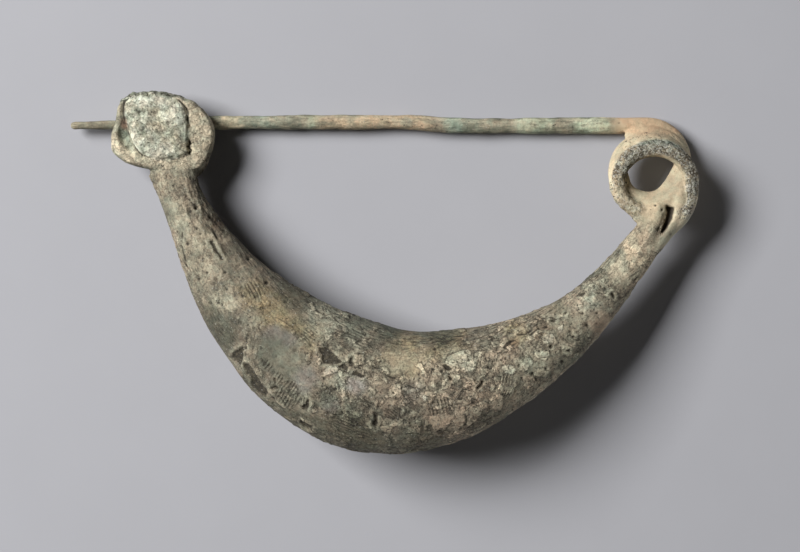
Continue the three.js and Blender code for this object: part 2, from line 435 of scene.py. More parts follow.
def flecks(size, seed):
    # how far each point is from the middle of its own cell, 0 to about 1, and a number that names the cell
    shift = Vector((seed * 9.1, seed * 4.3, seed * -7.7))
    near, name = np.empty(len(places)), np.empty(len(places))
    for i, p in enumerate(places):
        distances, middles = noise.voronoi(Vector(p) / size + shift)
        near[i] = distances[0]
        name[i] = noise.cell(middles[0] * 7.3)
    return near, name


places = readPoints(mesh.vertices, "co")
normals = readPoints(mesh.vertex_normals, "vector")
x, y, z = places.T
facing = ease(-0.35, 0.15, normals[:, 2])  # 1 on the front half


def alongLine(frames):
    # for each point: how far along the line, round it, out of its surface and from its middle the point lies
    tree = kdtree.KDTree(len(frames))
    for i, row in enumerate(frames):
        tree.insert(row[0], i)
    tree.balance()
    index = np.fromiter((tree.find(p)[1] for p in places), int, len(places))
    centre, out, up, ahead, size = (np.array([row[k] for row in frames])[index] for k in range(5))
    away = places - centre
    steps = np.linalg.norm(np.diff(np.array([row[0] for row in frames]), axis=0), axis=1)
    travelled = np.concatenate([[0], np.cumsum(steps)])[index]
    sideways, upwards = (away * out).sum(1), (away * up).sum(1)
    reach = np.hypot(sideways / (size[:, 0] / 2), upwards / (size[:, 1] / 2))
    gap = (reach - 1) * np.minimum(size[:, 0], size[:, 1]) / 2
    return travelled + (away * ahead).sum(1), np.arctan2(sideways, upwards), gap, np.linalg.norm(away, axis=1)


bowAlong, bowRound, bowGap, bowAway = alongLine(pathFrames(bowPath(0.5)))
wireRound, wireGap, wireAway = alongLine(pathFrames(wirePath(0.4)))[1:]
headX, headY = head["centre"]
headAngle = np.arctan2(y - headY, x - headX) % (2 * math.pi)
headReach = np.hypot(x - headX, y - headY)
fineSteps = 360
plateEdge = np.array(closedOutline(head["outline"], fineSteps))
massEdge = np.array(closedOutline(mass["outline"], fineSteps))
angleStep = (headAngle / (2 * math.pi) * fineSteps).astype(int) % fineSteps
insideHead = plateEdge[angleStep] - headReach
insideMass = massEdge[angleStep] - headReach

onHead = ease(-0.5, 0.1, insideHead) * ease(-1.9, -1.3, z) * ease(14.3, 15.3, y)
onMass = onHead * ease(-0.05, 0.15, insideMass) * ease(0.9, 1.3, z)
pastBow = ease(36.2, 37.4, x + (y > 19) * 99)  # the pin's side counts as past the bow everywhere
onWire = (1 - onHead) * ease(0.25, 0.0, wireGap - np.clip(bowGap, -9, 0.4)) * pastBow
onPin = onWire * ease(33.5, 31.0, x) * (y > 18)
onCoil = ease(1.03, 0.97, np.hypot((x - 37.8) / 6.7, (y - 14.2) / 8.7)) * ease(6.0, 8.5, y) * (1 - onPin)
frontTurn = {"centre": (38.24, 13.37), "half": (5.19, 4.75)}
ringX, ringY = x - frontTurn["centre"][0], y - frontTurn["centre"][1]
ringAcross = np.hypot(ringX / frontTurn["half"][0], ringY / frontTurn["half"][1])
ringAngle = np.degrees(np.arctan2(ringY, ringX))
lowerLeft = ease(0.5, -1.5, ringY) * (ringX < 0)
lowerRight = ease(-0.5, -3.6, ringY) * (ringX > 0)
outerReach = 0.2 + 0.12 * lowerLeft + 0.16 * lowerRight
innerReach = 0.22 - 0.28 * lowerRight
frontRing = onCoil * ease(-0.3, 0.2, z) * ease(0.07, 0, ringAcross - 1 - outerReach)
frontRing *= ease(-0.04, 0.04, ringAcross - 1 + innerReach)
frontRing *= np.maximum(ease(-106, -122, ringAngle), ease(-68, -48, ringAngle))
onBow = (1 - onHead) * (1 - onWire) * (1 - onCoil)
onPlate = onHead * (1 - onMass)
# places along and round the metal, for streaks
bowWrap = np.stack([bowAlong, bowRound * np.maximum(bowAway, 1.0), np.zeros(len(places))], 1)
pinWrap = np.stack([x, wireRound * wireAway, np.zeros(len(places))], 1)
wrap = np.where(onPin[:, None] > 0.5, pinWrap, bowWrap)
leftArm = onBow * facing * ease(-14, -20, x + y * 0.3) * ease(-6.5, -3.0, y)
stageDone("surface read")

# marks on the front, all in millimetres
# dark bare metal where the crust has come away
bareCorners = [
    [(-20.0, -10.1), (-20.6, -10.4), (-21.2, -10.8), (-21.6, -11.0), (-21.9, -11.7), (-21.3, -12.2),
     (-20.8, -12.7), (-20.5, -12.9), (-20.2, -12.0), (-20.0, -11.3), (-20.1, -10.8), (-19.8, -10.4)],
    [(-19.9, -12.5), (-19.3, -12.4), (-18.9, -12.8), (-18.2, -13.6), (-18.0, -14.2), (-17.6, -14.8),
     (-17.2, -15.5), (-16.7, -16.1), (-16.6, -16.6), (-17.0, -17.2), (-17.5, -16.9), (-18.1, -16.5),
     (-18.7, -16.0), (-19.0, -15.3), (-18.9, -14.8), (-19.1, -14.2), (-19.6, -14.0), (-19.9, -13.4)],
    [(-9.4, -9.3), (-9.1, -10.0), (-8.5, -10.0), (-8.0, -10.1), (-7.6, -10.5), (-7.2, -10.8), (-6.9, -11.2),
     (-6.5, -11.6), (-6.1, -12.0), (-6.5, -12.4), (-7.2, -12.3), (-8.0, -12.4), (-8.7, -12.3),
     (-8.8, -11.7), (-8.9, -11.0), (-9.2, -10.6)],
    [(-6.6, -12.7), (-6.0, -12.3), (-5.4, -12.4), (-5.2, -12.9), (-5.4, -13.4), (-5.8, -13.7),
     (-5.9, -13.0)],
    [(-5.0, -11.5), (-4.5, -11.2), (-4.6, -12.0), (-4.4, -12.6), (-5.1, -12.7), (-5.1, -12.1)],
    [(-4.9, -13.7), (-4.2, -13.3), (-3.4, -13.6), (-2.7, -14.0), (-3.2, -14.2), (-4.2, -13.9)],
    [(-1.9, -18.9), (-1.0, -19.1), (-1.2, -19.9), (-1.1, -20.3), (-1.4, -21.4), (-1.9, -20.8),
     (-1.6, -20.0)],
    [(-11.8, -18.4), (-11.2, -18.0), (-10.8, -17.0), (-10.7, -18.2), (-11.1, -19.0), (-11.6, -18.8)],
    [(-11.9, -20.2), (-11.2, -20.7), (-10.3, -21.1), (-10.5, -21.7), (-11.6, -21.4), (-12.1, -20.7)],
    [(-15.7, -14.4), (-15.4, -14.4), (-15.3, -15.3), (-15.0, -15.8), (-15.6, -16.0), (-16.0, -15.8),
     (-15.6, -15.3)],
    [(-24.9, 4.9), (-24.3, 4.9), (-24.0, 4.2), (-23.7, 3.5), (-23.3, 3.0), (-23.0, 2.5), (-22.8, 2.1),
     (-23.1, 2.1), (-23.5, 2.7), (-23.9, 3.2), (-24.3, 3.8), (-24.6, 4.3)],
    [(-27.5, 10.3), (-26.8, 10.0), (-26.6, 9.4), (-26.9, 9.1), (-27.2, 9.7)],
    [(7.6, -12.5), (8.3, -12.3), (8.7, -12.6), (9.2, -12.9), (9.3, -13.3), (8.8, -13.5), (8.2, -13.3),
     (7.9, -12.9)],
    [(8.5, -13.9), (9.2, -14.0), (9.4, -14.6), (8.7, -14.8)],
    [(13.0, -14.5), (13.7, -14.7), (13.6, -15.3), (12.9, -15.9), (12.4, -16.1), (12.4, -15.6),
     (13.1, -15.2)],
    [(25.0, -5.5), (25.2, -5.0), (25.6, -4.8), (25.5, -5.2), (25.2, -5.6)],
    [(23.2, -6.1), (23.9, -5.8), (24.0, -6.5), (23.5, -6.8), (22.9, -6.6)],
    [(31.4, -2.4), (31.9, -2.3), (32.5, -3.1), (32.0, -3.5), (31.6, -3.0)],
    [(21.4, -8.1), (22.3, -8.1), (22.1, -8.6), (21.6, -8.5)],
    [(22.7, -9.9), (23.4, -9.5), (23.5, -10.2), (22.9, -10.4)],
    [(25.1, -10.5), (25.8, -10.4), (25.8, -10.8), (25.1, -10.9)],
    [(18.4, -12.1), (18.9, -12.5), (18.9, -13.0), (18.3, -13.1)],
    [(22.1, -12.9), (22.7, -13.0), (22.6, -13.5), (22.2, -13.4)],
    [(26.2, -2.9), (27.2, -2.5), (28.2, -2.2), (28.2, -2.7), (27.6, -3.1), (26.9, -2.9)],
    [(27.3, -7.8), (26.5, -7.9), (26.6, -8.2), (27.4, -8.1)],
]

# plates of thick crust, with their colour and how strongly it shows
plates = [
    ("cream", 0.5, [(-25.3, 1.9), (-24.6, 2.0), (-23.9, 1.5), (-23.4, 1.2), (-22.9, 1.0), (-22.9, 0.1),
                    (-22.9, -0.6), (-23.8, -0.7), (-24.7, -0.8), (-25.3, -0.4), (-25.2, 0.2),
                    (-25.6, 0.7)]),
    ("cream", 0.5, [(-22.3, -1.2), (-21.7, -1.3), (-21.3, -2.2), (-21.1, -2.9), (-20.8, -3.7),
                    (-20.8, -4.6), (-22.2, -5.0), (-22.8, -4.6), (-22.5, -3.6), (-24.0, -3.3),
                    (-24.5, -2.8), (-24.4, -2.4), (-23.0, -3.0), (-22.9, -2.0)]),
    ("cream", 0.4, [(-29.2, 8.6), (-28.3, 8.8), (-27.9, 8.2), (-28.0, 7.2), (-27.7, 6.2), (-27.3, 5.2),
                    (-27.9, 4.9), (-28.5, 6.0), (-28.8, 7.0), (-29.5, 7.5)]),
    ("tan", 0.7, [(-27.6, 4.9), (-25.9, 4.8), (-25.4, 3.8), (-25.7, 3.0), (-26.0, 2.4), (-26.8, 3.4),
                  (-27.5, 4.0)]),
    ("tan", 0.5, [(-26.4, 1.0), (-25.9, 0.4), (-25.8, -0.3), (-26.4, -0.2), (-26.9, 0.6)]),
    ("white", 0.35, [(-8.2, -12.6), (-6.8, -12.7), (-6.5, -13.2), (-7.2, -13.6), (-8.3, -13.9),
                     (-8.7, -13.5)]),
    ("tan", 0.6, [(-4.3, -11.0), (-3.3, -10.9), (-2.9, -11.6), (-3.4, -12.6), (-4.4, -12.5)]),
    ("tan", 0.6, [(-2.6, -11.8), (-1.7, -12.0), (-1.5, -12.7), (-2.0, -12.8), (-2.8, -12.4)]),
    ("cream", 0.7, [(-0.7, -12.7), (-0.1, -12.8), (0.5, -13.3), (0.4, -13.8), (-0.2, -13.4),
                    (-0.8, -13.0)]),
    ("cream", 0.7, [(-0.9, -14.2), (0.0, -14.3), (0.4, -14.7), (0.2, -15.1), (-0.4, -14.6)]),
    ("cream", 0.4, [(0.8, -15.3), (2.0, -15.0), (2.2, -16.5), (1.9, -17.0), (0.3, -16.9), (0.2, -16.2)]),
    ("tan", 0.7, [(-2.9, -19.9), (-2.3, -19.9), (-1.9, -20.4), (-1.9, -21.4), (-2.9, -21.4)]),
    ("tan", 0.7, [(-0.9, -20.0), (0.0, -19.7), (1.2, -20.0), (2.4, -20.0), (2.5, -21.0), (1.3, -21.1),
                  (0.4, -21.4), (-0.9, -21.3)]),
    ("paleGreen", 0.5, [(2.1, -18.4), (2.5, -18.2), (2.6, -18.9), (2.2, -19.5), (1.9, -19.2)]),
    ("cream", 0.9, [(4.0, -12.6), (4.8, -12.1), (5.1, -12.6), (5.4, -13.4), (5.3, -13.8), (4.9, -13.5),
                    (4.6, -13.0)]),
    ("cream", 0.8, [(6.1, -14.9), (6.8, -14.6), (6.9, -15.6), (6.3, -15.7)]),
    ("cream", 0.8, [(9.2, -13.6), (9.9, -13.4), (10.3, -14.0), (10.3, -14.7), (9.8, -14.6), (9.4, -14.4),
                    (9.1, -14.0)]),
    ("paleGreen", 0.6, [(8.1, -12.2), (8.5, -11.4), (9.3, -11.0), (10.3, -10.6), (11.5, -10.5),
                        (11.9, -10.8), (11.8, -11.3), (12.7, -11.7), (12.6, -12.3), (12.4, -13.2),
                        (11.8, -13.6), (11.0, -13.5), (10.4, -12.9), (9.8, -12.8), (9.2, -12.6)]),
    ("paleGreen", 0.8, [(16.0, -12.7), (17.0, -12.5), (17.8, -12.6), (18.2, -13.3), (17.7, -13.8),
                        (17.0, -13.8), (16.3, -13.4)]),
    ("cream", 0.7, [(14.6, -15.2), (15.1, -15.3), (15.2, -16.0), (14.7, -16.2), (14.5, -15.7)]),
    ("tan", 0.6, [(12.1, -15.0), (12.9, -14.9), (12.9, -15.3), (12.3, -15.7)]),
    ("pinkTan", 0.8, [(15.4, -16.5), (16.3, -16.7), (16.4, -17.5), (16.2, -19.0), (15.3, -19.2),
                      (14.7, -18.3), (15.0, -17.4)]),
    ("tan", 0.7, [(11.2, -18.2), (12.0, -17.9), (12.7, -18.2), (13.4, -18.6), (13.3, -19.4), (12.8, -19.9),
                  (12.0, -19.8), (11.2, -19.3)]),
    ("cream", 0.5, [(11.0, -21.2), (11.5, -20.2), (12.3, -20.0), (12.7, -20.2), (12.0, -20.9),
                    (11.5, -21.2)]),
    ("pinkTan", 0.8, [(9.7, -18.3), (11.0, -18.2), (11.0, -20.0), (10.8, -21.0), (9.8, -21.4), (9.3, -20.2),
                      (9.6, -19.8)]),
    ("pinkTan", 0.8, [(5.9, -19.7), (7.0, -19.5), (8.0, -19.2), (8.9, -19.3), (9.2, -19.9), (8.8, -20.8),
                      (8.3, -21.6), (6.8, -21.4), (6.0, -20.5)]),
    ("tan", 0.7, [(3.0, -21.3), (4.4, -21.0), (4.9, -21.4), (4.4, -21.9), (2.8, -22.0)]),
    ("tan", 0.6, [(5.3, -20.2), (5.8, -20.1), (5.8, -21.5), (5.3, -21.6)]),
    ("white", 0.4, [(4.9, -16.9), (5.3, -16.6), (5.8, -16.9), (5.5, -17.4), (5.2, -17.5)]),
    ("paleGreen", 0.7, [(20.5, -10.8), (21.8, -10.5), (22.8, -10.6), (23.0, -11.3), (22.3, -12.0),
                        (21.3, -11.7)]),
    ("white", 0.4, [(21.8, -8.9), (22.8, -8.3), (23.5, -8.3), (23.6, -9.0), (23.3, -9.6), (22.0, -9.5)]),
    ("cream", 0.6, [(24.0, -9.0), (25.0, -9.2), (26.5, -9.8), (26.5, -10.4), (25.0, -10.4), (24.2, -9.9)]),
    ("paleGreen", 0.7, [(19.3, -11.9), (20.0, -11.6), (20.6, -12.0), (20.3, -12.6), (19.5, -13.5),
                        (19.0, -12.8)]),
    ("tan", 0.5, [(20.7, -13.0), (22.0, -13.0), (22.8, -13.6), (22.6, -14.3), (21.0, -14.2)]),
    ("pinkTan", 0.8, [(18.9, -14.0), (20.2, -13.9), (20.9, -14.6), (20.6, -15.6), (19.4, -15.8)]),
    ("cream", 0.8, [(17.7, -15.0), (18.2, -14.9), (18.3, -15.5), (17.8, -15.8)]),
    ("cream", 0.8, [(24.3, -5.6), (24.9, -5.3), (24.8, -6.0), (24.2, -6.6)]),
    ("cream", 0.7, [(25.1, -5.6), (25.7, -5.2), (25.6, -6.2), (25.1, -6.4)]),
    ("peach", 0.6, [(20.8, -8.6), (21.4, -8.4), (21.2, -9.2), (20.8, -9.3)]),
    ("pinkTan", 0.8, [(26.1, -3.4), (27.2, -3.3), (27.8, -4.2), (27.6, -4.7), (26.2, -4.5), (25.7, -4.2)]),
    ("cream", 0.7, [(30.2, -2.4), (31.4, -2.3), (31.5, -2.9), (30.5, -3.2)]),
    ("white", 0.5, [(24.1, -7.3), (24.8, -7.0), (24.8, -8.0), (24.3, -8.0)]),
    ("cream", 0.7, [(23.5, -10.4), (24.2, -10.1), (24.4, -10.8), (23.9, -11.0)]),
    ("tan", 0.7, [(26.8, -6.6), (27.6, -6.8), (27.7, -7.6), (27.0, -7.2)]),
]

# small sharp pits: middle and radius
pits = [
    ((-27.6, 9.0), 0.3), ((-26.2, 5.8), 0.22), ((-26.7, 6.6), 0.25), ((-28.0, 4.4), 0.28),
    ((-25.2, 0.3), 0.27), ((-26.5, -0.6), 0.26), ((-22.6, 0.4), 0.24), ((-23.5, -3.9), 0.27),
    ((-23.0, -4.2), 0.22), ((-19.4, 2.3), 0.22), ((-16.8, -1.0), 0.32), ((-20.1, -2.9), 0.3),
    ((-22.3, -2.0), 0.22), ((-24.7, -4.0), 0.18), ((-17.2, -4.6), 0.22), ((-15.8, -17.3), 0.26),
    ((-10.5, -9.7), 0.24), ((-9.7, -14.7), 0.18), ((-3.6, -12.9), 0.2), ((-3.5, -11.8), 0.18),
    ((1.0, -16.3), 0.22), ((6.8, -10.3), 0.27), ((6.5, -13.1), 0.28), ((7.7, -13.4), 0.2),
    ((11.5, -11.9), 0.22), ((14.2, -12.9), 0.28), ((14.0, -12.0), 0.2), ((24.7, -12.2), 0.3),
    ((28.3, -7.1), 0.3), ((27.6, -5.4), 0.26), ((29.7, -5.4), 0.22), ((26.3, -8.7), 0.24),
    ((26.9, -4.2), 0.2), ((38.0, 9.9), 0.22), ((39.0, 9.2), 0.2), ((21.4, -10.7), 0.24),
    ((19.0, -14.4), 0.2), ((20.5, -13.8), 0.22), ((-6.1, -19.2), 0.22), ((-7.6, -15.4), 0.2),
]

# gouges (depth above nought) and ridges (below nought): points, half width, depth
strokes = [
    ([(-25.9, 9.4), (-25.0, 8.2), (-24.0, 7.2)], 0.16, 0.16),
    ([(-28.4, 9.6), (-27.9, 8.0), (-27.4, 6.8)], 0.2, -0.14),
    ([(-27.2, 5.4), (-26.0, 4.0), (-25.2, 2.6), (-24.4, 1.0)], 0.22, -0.14),
    ([(-28.0, 3.4), (-27.2, 1.6), (-26.6, 0.2)], 0.14, 0.1),
    ([(-22.9, 4.4), (-21.8, 3.0), (-20.8, 2.0)], 0.12, 0.12),
    ([(-24.6, -0.4), (-23.4, -1.2), (-22.6, -2.4)], 0.2, -0.12),
    ([(-25.3, 7.2), (-24.6, 6.6), (-24.2, 6.0), (-23.9, 5.3)], 0.2, 0.2),
    ([(-26.5, 8.3), (-25.7, 7.8), (-25.2, 7.2)], 0.16, 0.16),
    ([(-27.8, 10.6), (-27.1, 10.0), (-26.8, 9.3)], 0.22, 0.26),
    ([(-24.4, 5.6), (-23.8, 4.5), (-23.2, 3.3), (-22.8, 2.5)], 0.2, -0.14),
    ([(-26.7, 7.6), (-25.4, 5.6), (-24.3, 5.2)], 0.25, -0.1),
    ([(-28.9, 6.3), (-28.9, 3.8), (-28.5, 2.6), (-28.3, 1.4), (-27.7, 0.5)], 0.13, 0.16),
    ([(-29.6, 7.2), (-29.5, 4.6), (-28.9, 1.4), (-28.2, -1.4)], 0.18, -0.1),
    ([(-29.9, 5.2), (-29.2, 2.6), (-28.4, -0.4)], 0.12, 0.12), ([(-26.5, 1.6), (-25.8, 0.9)], 0.14, 0.12),
    ([(-19.9, -12.0), (-20.3, -12.4), (-20.1, -13.1)], 0.14, -0.16),
    ([(-19.6, -8.3), (-19.2, -9.4), (-18.9, -10.5), (-19.3, -11.9)], 0.34, -0.16),
    ([(-19.4, -8.7), (-19.4, -9.4), (-19.6, -10.2)], 0.13, 0.2),
    ([(-21.7, -10.8), (-20.9, -10.2), (-20.1, -9.6)], 0.14, -0.12),
    ([(-19.6, -11.9), (-18.9, -12.2), (-18.2, -13.4), (-17.4, -14.3), (-16.6, -15.2), (-16.1, -16.0),
      (-15.8, -16.6), (-15.3, -17.4), (-14.8, -18.0), (-14.3, -18.5)], 0.26, -0.22),
    ([(-17.8, -12.4), (-17.0, -13.4), (-16.4, -14.4), (-15.9, -15.4)], 0.12, 0.1),
    ([(-16.6, -11.9), (-17.0, -12.6)], 0.14, 0.18), ([(-16.3, -12.5), (-16.9, -13.0)], 0.12, 0.14),
    ([(-15.9, -18.0), (-15.0, -18.3), (-14.2, -18.8)], 0.22, 0.14),
    ([(-14.8, -17.2), (-14.0, -18.4)], 0.13, 0.14), ([(-14.0, -7.0), (-13.5, -7.9)], 0.13, 0.16),
    ([(-18.4, -2.6), (-17.2, -4.2), (-16.6, -4.6)], 0.1, 0.12),
    ([(-15.4, -4.4), (-14.2, -5.4), (-13.0, -6.0)], 0.12, 0.12),
    ([(-16.2, -5.6), (-15.0, -6.9)], 0.1, 0.12),
    ([(-12.4, -7.0), (-11.2, -7.6), (-10.2, -8.6)], 0.12, 0.12),
    ([(-11.0, -10.7), (-10.5, -11.5)], 0.13, 0.16),
    ([(-15.9, -8.2), (-14.6, -9.4), (-12.1, -9.9)], 0.16, 0.08),
    ([(-16.6, -5.0), (-14.4, -6.8)], 0.12, 0.1), ([(-13.0, -6.6), (-11.4, -8.0)], 0.12, 0.1),
    ([(-12.0, -9.9), (-12.1, -12.2)], 0.14, -0.08),
    ([(-12.0, -15.2), (-11.0, -15.3), (-10.0, -15.9)], 0.14, -0.08),
    ([(-10.8, -17.0), (-9.6, -17.1)], 0.1, 0.12),
    ([(-8.4, -15.4), (-7.5, -16.2), (-6.8, -15.6)], 0.18, 0.14),
    ([(-8.3, -14.0), (-7.6, -15.0), (-7.2, -15.6)], 0.12, -0.14),
    ([(-5.2, -14.8), (-5.3, -16.2), (-5.1, -17.5)], 0.12, 0.16),
    ([(-5.8, -13.8), (-5.7, -15.2), (-6.2, -15.9)], 0.14, -0.12),
    ([(-1.9, -12.8), (-0.6, -13.0), (0.0, -13.9), (0.9, -14.2), (2.3, -14.6)], 0.15, 0.18),
    ([(0.0, -17.9), (1.6, -19.0)], 0.08, -0.12),
    ([(-8.4, -19.0), (-7.0, -19.7), (-6.0, -20.0)], 0.16, 0.14),
    ([(-11.9, -19.9), (-10.5, -21.0)], 0.12, -0.14),
    ([(-5.3, -8.8), (-4.4, -9.4), (-4.0, -9.8)], 0.18, -0.12), ([(6.9, -10.9), (6.4, -11.5)], 0.1, 0.14),
    ([(10.2, -13.3), (11.2, -13.9)], 0.12, 0.16),
    ([(9.5, -18.0), (11.2, -18.0), (12.8, -17.7)], 0.12, 0.14), ([(11.1, -20.2), (11.0, -20.9)], 0.1, 0.16),
    ([(16.0, -9.6), (17.2, -8.8), (18.5, -8.0), (20.2, -6.9), (21.6, -6.5)], 0.42, -0.14),
    ([(16.5, -10.1), (17.4, -9.3), (18.2, -9.0)], 0.2, 0.2),
    ([(18.4, -8.4), (19.6, -8.3), (20.4, -7.7)], 0.16, 0.18),
    ([(20.2, -8.4), (21.2, -7.6), (22.5, -7.3)], 0.2, 0.18), ([(17.6, -9.9), (18.8, -9.2)], 0.12, 0.14),
    ([(21.5, -11.7), (22.4, -11.5)], 0.1, 0.14), ([(21.8, -12.0), (22.5, -12.0)], 0.1, 0.12),
    ([(20.9, -14.4), (21.2, -15.0)], 0.14, 0.16), ([(25.8, -8.4), (26.6, -9.0)], 0.14, 0.14),
    ([(29.0, -3.5), (29.9, -3.0)], 0.1, -0.12), ([(22.0, -6.4), (23.0, -6.0), (24.4, -5.8)], 0.12, 0.14),
    ([(28.4, -8.4), (26.6, -9.4), (24.8, -9.2)], 0.12, 0.1),
    ([(35.0, 1.6), (36.6, 4.6), (37.7, 6.6)], 0.3, -0.08),
]

# combed strokes: middle, half length, half width, the strokes' direction in degrees, spacing, depth
combs = [
    ((-13.5, -16.7), 1.9, 1.8, 58, 0.47, 0.12), ((-16.8, -12.7), 0.8, 1.2, 52, 0.5, 0.09),
    ((-15.2, -14.3), 0.9, 1.0, 56, 0.45, 0.06), ((7.6, -18.2), 1.2, 1.9, 103, 0.47, 0.13),
    ((16.6, -14.6), 0.9, 1.2, 84, 0.45, 0.11), ((17.2, -16.8), 0.9, 1.0, 65, 0.4, 0.11),
    ((-2.8, -17.9), 1.1, 0.8, -34, 0.34, 0.07), ((0.9, -18.9), 1.2, 0.9, -33, 0.33, 0.08),
    ((-5.6, -21.2), 4.2, 1.7, -24, 0.4, 0.14), ((-22.0, -8.4), 1.6, 1.1, -46, 0.42, 0.07),
    ((-24.0, -5.6), 1.2, 1.0, -64, 0.42, 0.06), ((-11.6, -18.0), 1.2, 0.8, 84, 0.42, 0.08),
    ((36.0, -1.2), 0.8, 3.4, 38, 0.65, 0.12), ((-3.4, -9.2), 3.2, 1.2, -22, 0.4, 0.07),
    ((26.6, -9.6), 1.6, 0.8, -14, 0.36, 0.07), ((9.0, -8.9), 4.6, 0.7, 8, 0.36, 0.05),
    ((4.0, -19.2), 0.9, 1.0, 76, 0.42, 0.09), ((-10.8, -8.6), 1.4, 1.0, -40, 0.4, 0.07),
    ((-18.6, -2.2), 1.4, 1.4, -62, 0.46, 0.07),
]


def patchGap(corners):
    # millimetres inside a many-cornered patch, below nought outside; only points close to it are worked out
    gap = np.full(len(places), -9.0)
    xs, ys = np.array(corners).T
    near = (facing > 0.4) & (x > xs.min() - 1) & (x < xs.max() + 1) & (y > ys.min() - 1) & (y < ys.max() + 1)
    px, py = x[near], y[near]
    closest, inside = np.full(len(px), 9.0), np.zeros(len(px), bool)
    for x0, y0, x1, y1 in zip(xs, ys, np.roll(xs, -1), np.roll(ys, -1)):
        dx, dy = x1 - x0, y1 - y0
        share = np.clip(((px - x0) * dx + (py - y0) * dy) / (dx ** 2 + dy ** 2), 0, 1)
        closest = np.minimum(closest, np.hypot(px - x0 - share * dx, py - y0 - share * dy))
        if dy:
            inside ^= ((y0 > py) != (y1 > py)) & (px < dx * (py - y0) / dy + x0)
    gap[near] = np.where(inside, closest, -closest)
    return gap


def ovalGap(middle, halfLength, halfWidth, turnDegrees, wobble):
    # the same for an uneven oval
    angle = math.radians(turnDegrees)
    dx, dy = x - middle[0], y - middle[1]
    along = (dx * math.cos(angle) + dy * math.sin(angle)) / halfLength
    across = (dy * math.cos(angle) - dx * math.sin(angle)) / halfWidth
    return (1 - np.hypot(along, across)) * min(halfLength, halfWidth) + wobble


def awayFrom(middle, reach):
    # distance from a middle, 1 at the reach
    return np.hypot(x - middle[0], y - middle[1]) / reach


def lineGap(points):
    # distance from a line through the points
    best = np.full(len(places), 1e9)
    for (x0, y0), (x1, y1) in zip(points, points[1:]):
        dx, dy = x1 - x0, y1 - y0
        share = np.clip(((x - x0) * dx + (y - y0) * dy) / math.dist((x0, y0), (x1, y1)) ** 2, 0, 1)
        best = np.minimum(best, np.hypot(x - x0 - share * dx, y - y0 - share * dy))
    return best


wander = cloud(1.6, 3)
ragged = cloud(0.7, 4)
slow = cloud(6.0, 5)
edgeWobble = 0.32 * wander + 0.22 * ragged
height = 0.12 * slow + 0.06 * cloud(2.6, 6)
# how dark each recess is painted: dirt and painted shade in pits, gouges, crevices, cracks and the slit
hollowShadeAndDirt = np.zeros(len(places))

bare = np.full(len(places), -9.0)
for corners in bareCorners:
    bare = np.maximum(bare, patchGap(corners))
bare = bare + 0.12 * ragged + 0.07 * cloud(0.4, 35) - 0.12 * ease(-2, 4, x)
height -= 0.2 * ease(-0.08, 0.14, bare)
height += 0.08 * np.exp(-((bare + 0.3) / 0.2) ** 2)

# places where the surface is smoother: middle, reach, amount
calm = [
    ((-14.5, -11.5), 2.8, 0.75), ((-15.0, -9.0), 2.0, 0.8), ((-20.0, 1.6), 2.6, 0.3),
    ((30.0, -6.6), 1.6, 0.8), ((-31.2, 9.4), 1.4, 0.6), ((36.6, 5.0), 2.4, 0.55), ((33.6, 1.4), 3.0, 0.5),
    ((-11.2, -14.4), 1.8, 0.6), ((-4.2, -15.0), 1.2, 0.4), ((2.4, -11.6), 2.4, 0.6),
    ((3.0, -8.2), 4.0, 0.3),
]
edgeWander = 0.35 * cloud(1.8, 23, 3)
calmShares = []
for middle, reach, amount in calm:
    calmShares.append(amount * facing * ease(1.3, 0.6, awayFrom(middle, reach) + edgeWander))
quiet = np.max(calmShares, axis=0)

plateGaps = [patchGap(corners) + 0.14 * ragged for colour, strength, corners in plates]
crust = np.max(plateGaps, axis=0)
scales = cloud(1.5, 8) + 0.6 * cloud(0.7, 9)
crust = np.maximum(crust, (scales - 0.3 + 0.25 * slow) * 0.8 - 1.6 * quiet)
crust = np.where((bare > -0.12) | (onCoil > 0.3), -1.0, crust)
flaky = onBow * ease(-22, -13, x + 3 * slow) * (1 - 0.75 * ease(16, 28, x)) * ease(36.0, 32.6, x)
crustPlace = (onBow + 0.4 * onHead * (1 - onMass)) * ease(-26, -14, x + 4 * slow)
height += 0.075 * ease(-0.08, 0.1, crust) * crustPlace
height += 0.025 * np.exp(-((crust - 0.12) / 0.12) ** 2) * onBow

for middle, radius in pits:
    hole = np.exp(-awayFrom(middle, radius) ** 2) * facing
    height -= 0.24 * hole
    hollowShadeAndDirt = np.maximum(hollowShadeAndDirt, hole)
ridges = np.zeros(len(places))
broken = ease(-0.55, -0.05, cloud(1.1, 37))
for points, halfWidth, depth in strokes:
    groove = np.exp(-((lineGap(points) + 0.16 * wander + 0.08 * ragged) / halfWidth) ** 2) * facing
    if depth > 0:
        height -= depth * groove * broken
        hollowShadeAndDirt = np.maximum(hollowShadeAndDirt, groove * broken * min(depth * 5, 1))
    else:
        height -= depth * groove
        ridges = np.maximum(ridges, groove * min(-depth * 5, 1))

# thin cream flakes along the left arm, with crevices round them
armGrain = cloud(1.1, 40, 3, bowWrap * (0.5, 1, 1))
armFlakes = leftArm * (1 - quiet) * ease(0.04, 0.14, armGrain)
armPatches = ease(-0.3, 0.2, slow + cloud(1.6, 41))
armCrevices = leftArm * (1 - quiet) * np.exp(-((armGrain + 0.03) / 0.06) ** 2) * armPatches
height += 0.05 * armFlakes - 0.1 * armCrevices
hollowShadeAndDirt = np.maximum(hollowShadeAndDirt, 0.5 * armCrevices)

combed, combPhase = np.zeros(len(places)), np.zeros(len(places))
for middle, halfLength, halfWidth, direction, spacing, depth in combs:
    inside = facing * ease(-0.2, 0.4, ovalGap(middle, halfLength, halfWidth, direction, edgeWobble))
    angle = math.radians(direction)
    across = (y - middle[1]) * math.cos(angle) - (x - middle[0]) * math.sin(angle)
    phase = (across + 0.16 * wander + 0.06 * ragged) / spacing
    height -= depth * inside * (0.5 - 0.5 * np.cos(2 * math.pi * phase)) ** 2
    combPhase = np.where(inside > combed, phase, combPhase)
    combed = np.maximum(combed, inside)
combed = combed * ease(-0.5, 0.3, cloud(0.9, 10) + 0.3 * cloud(2.2, 29))

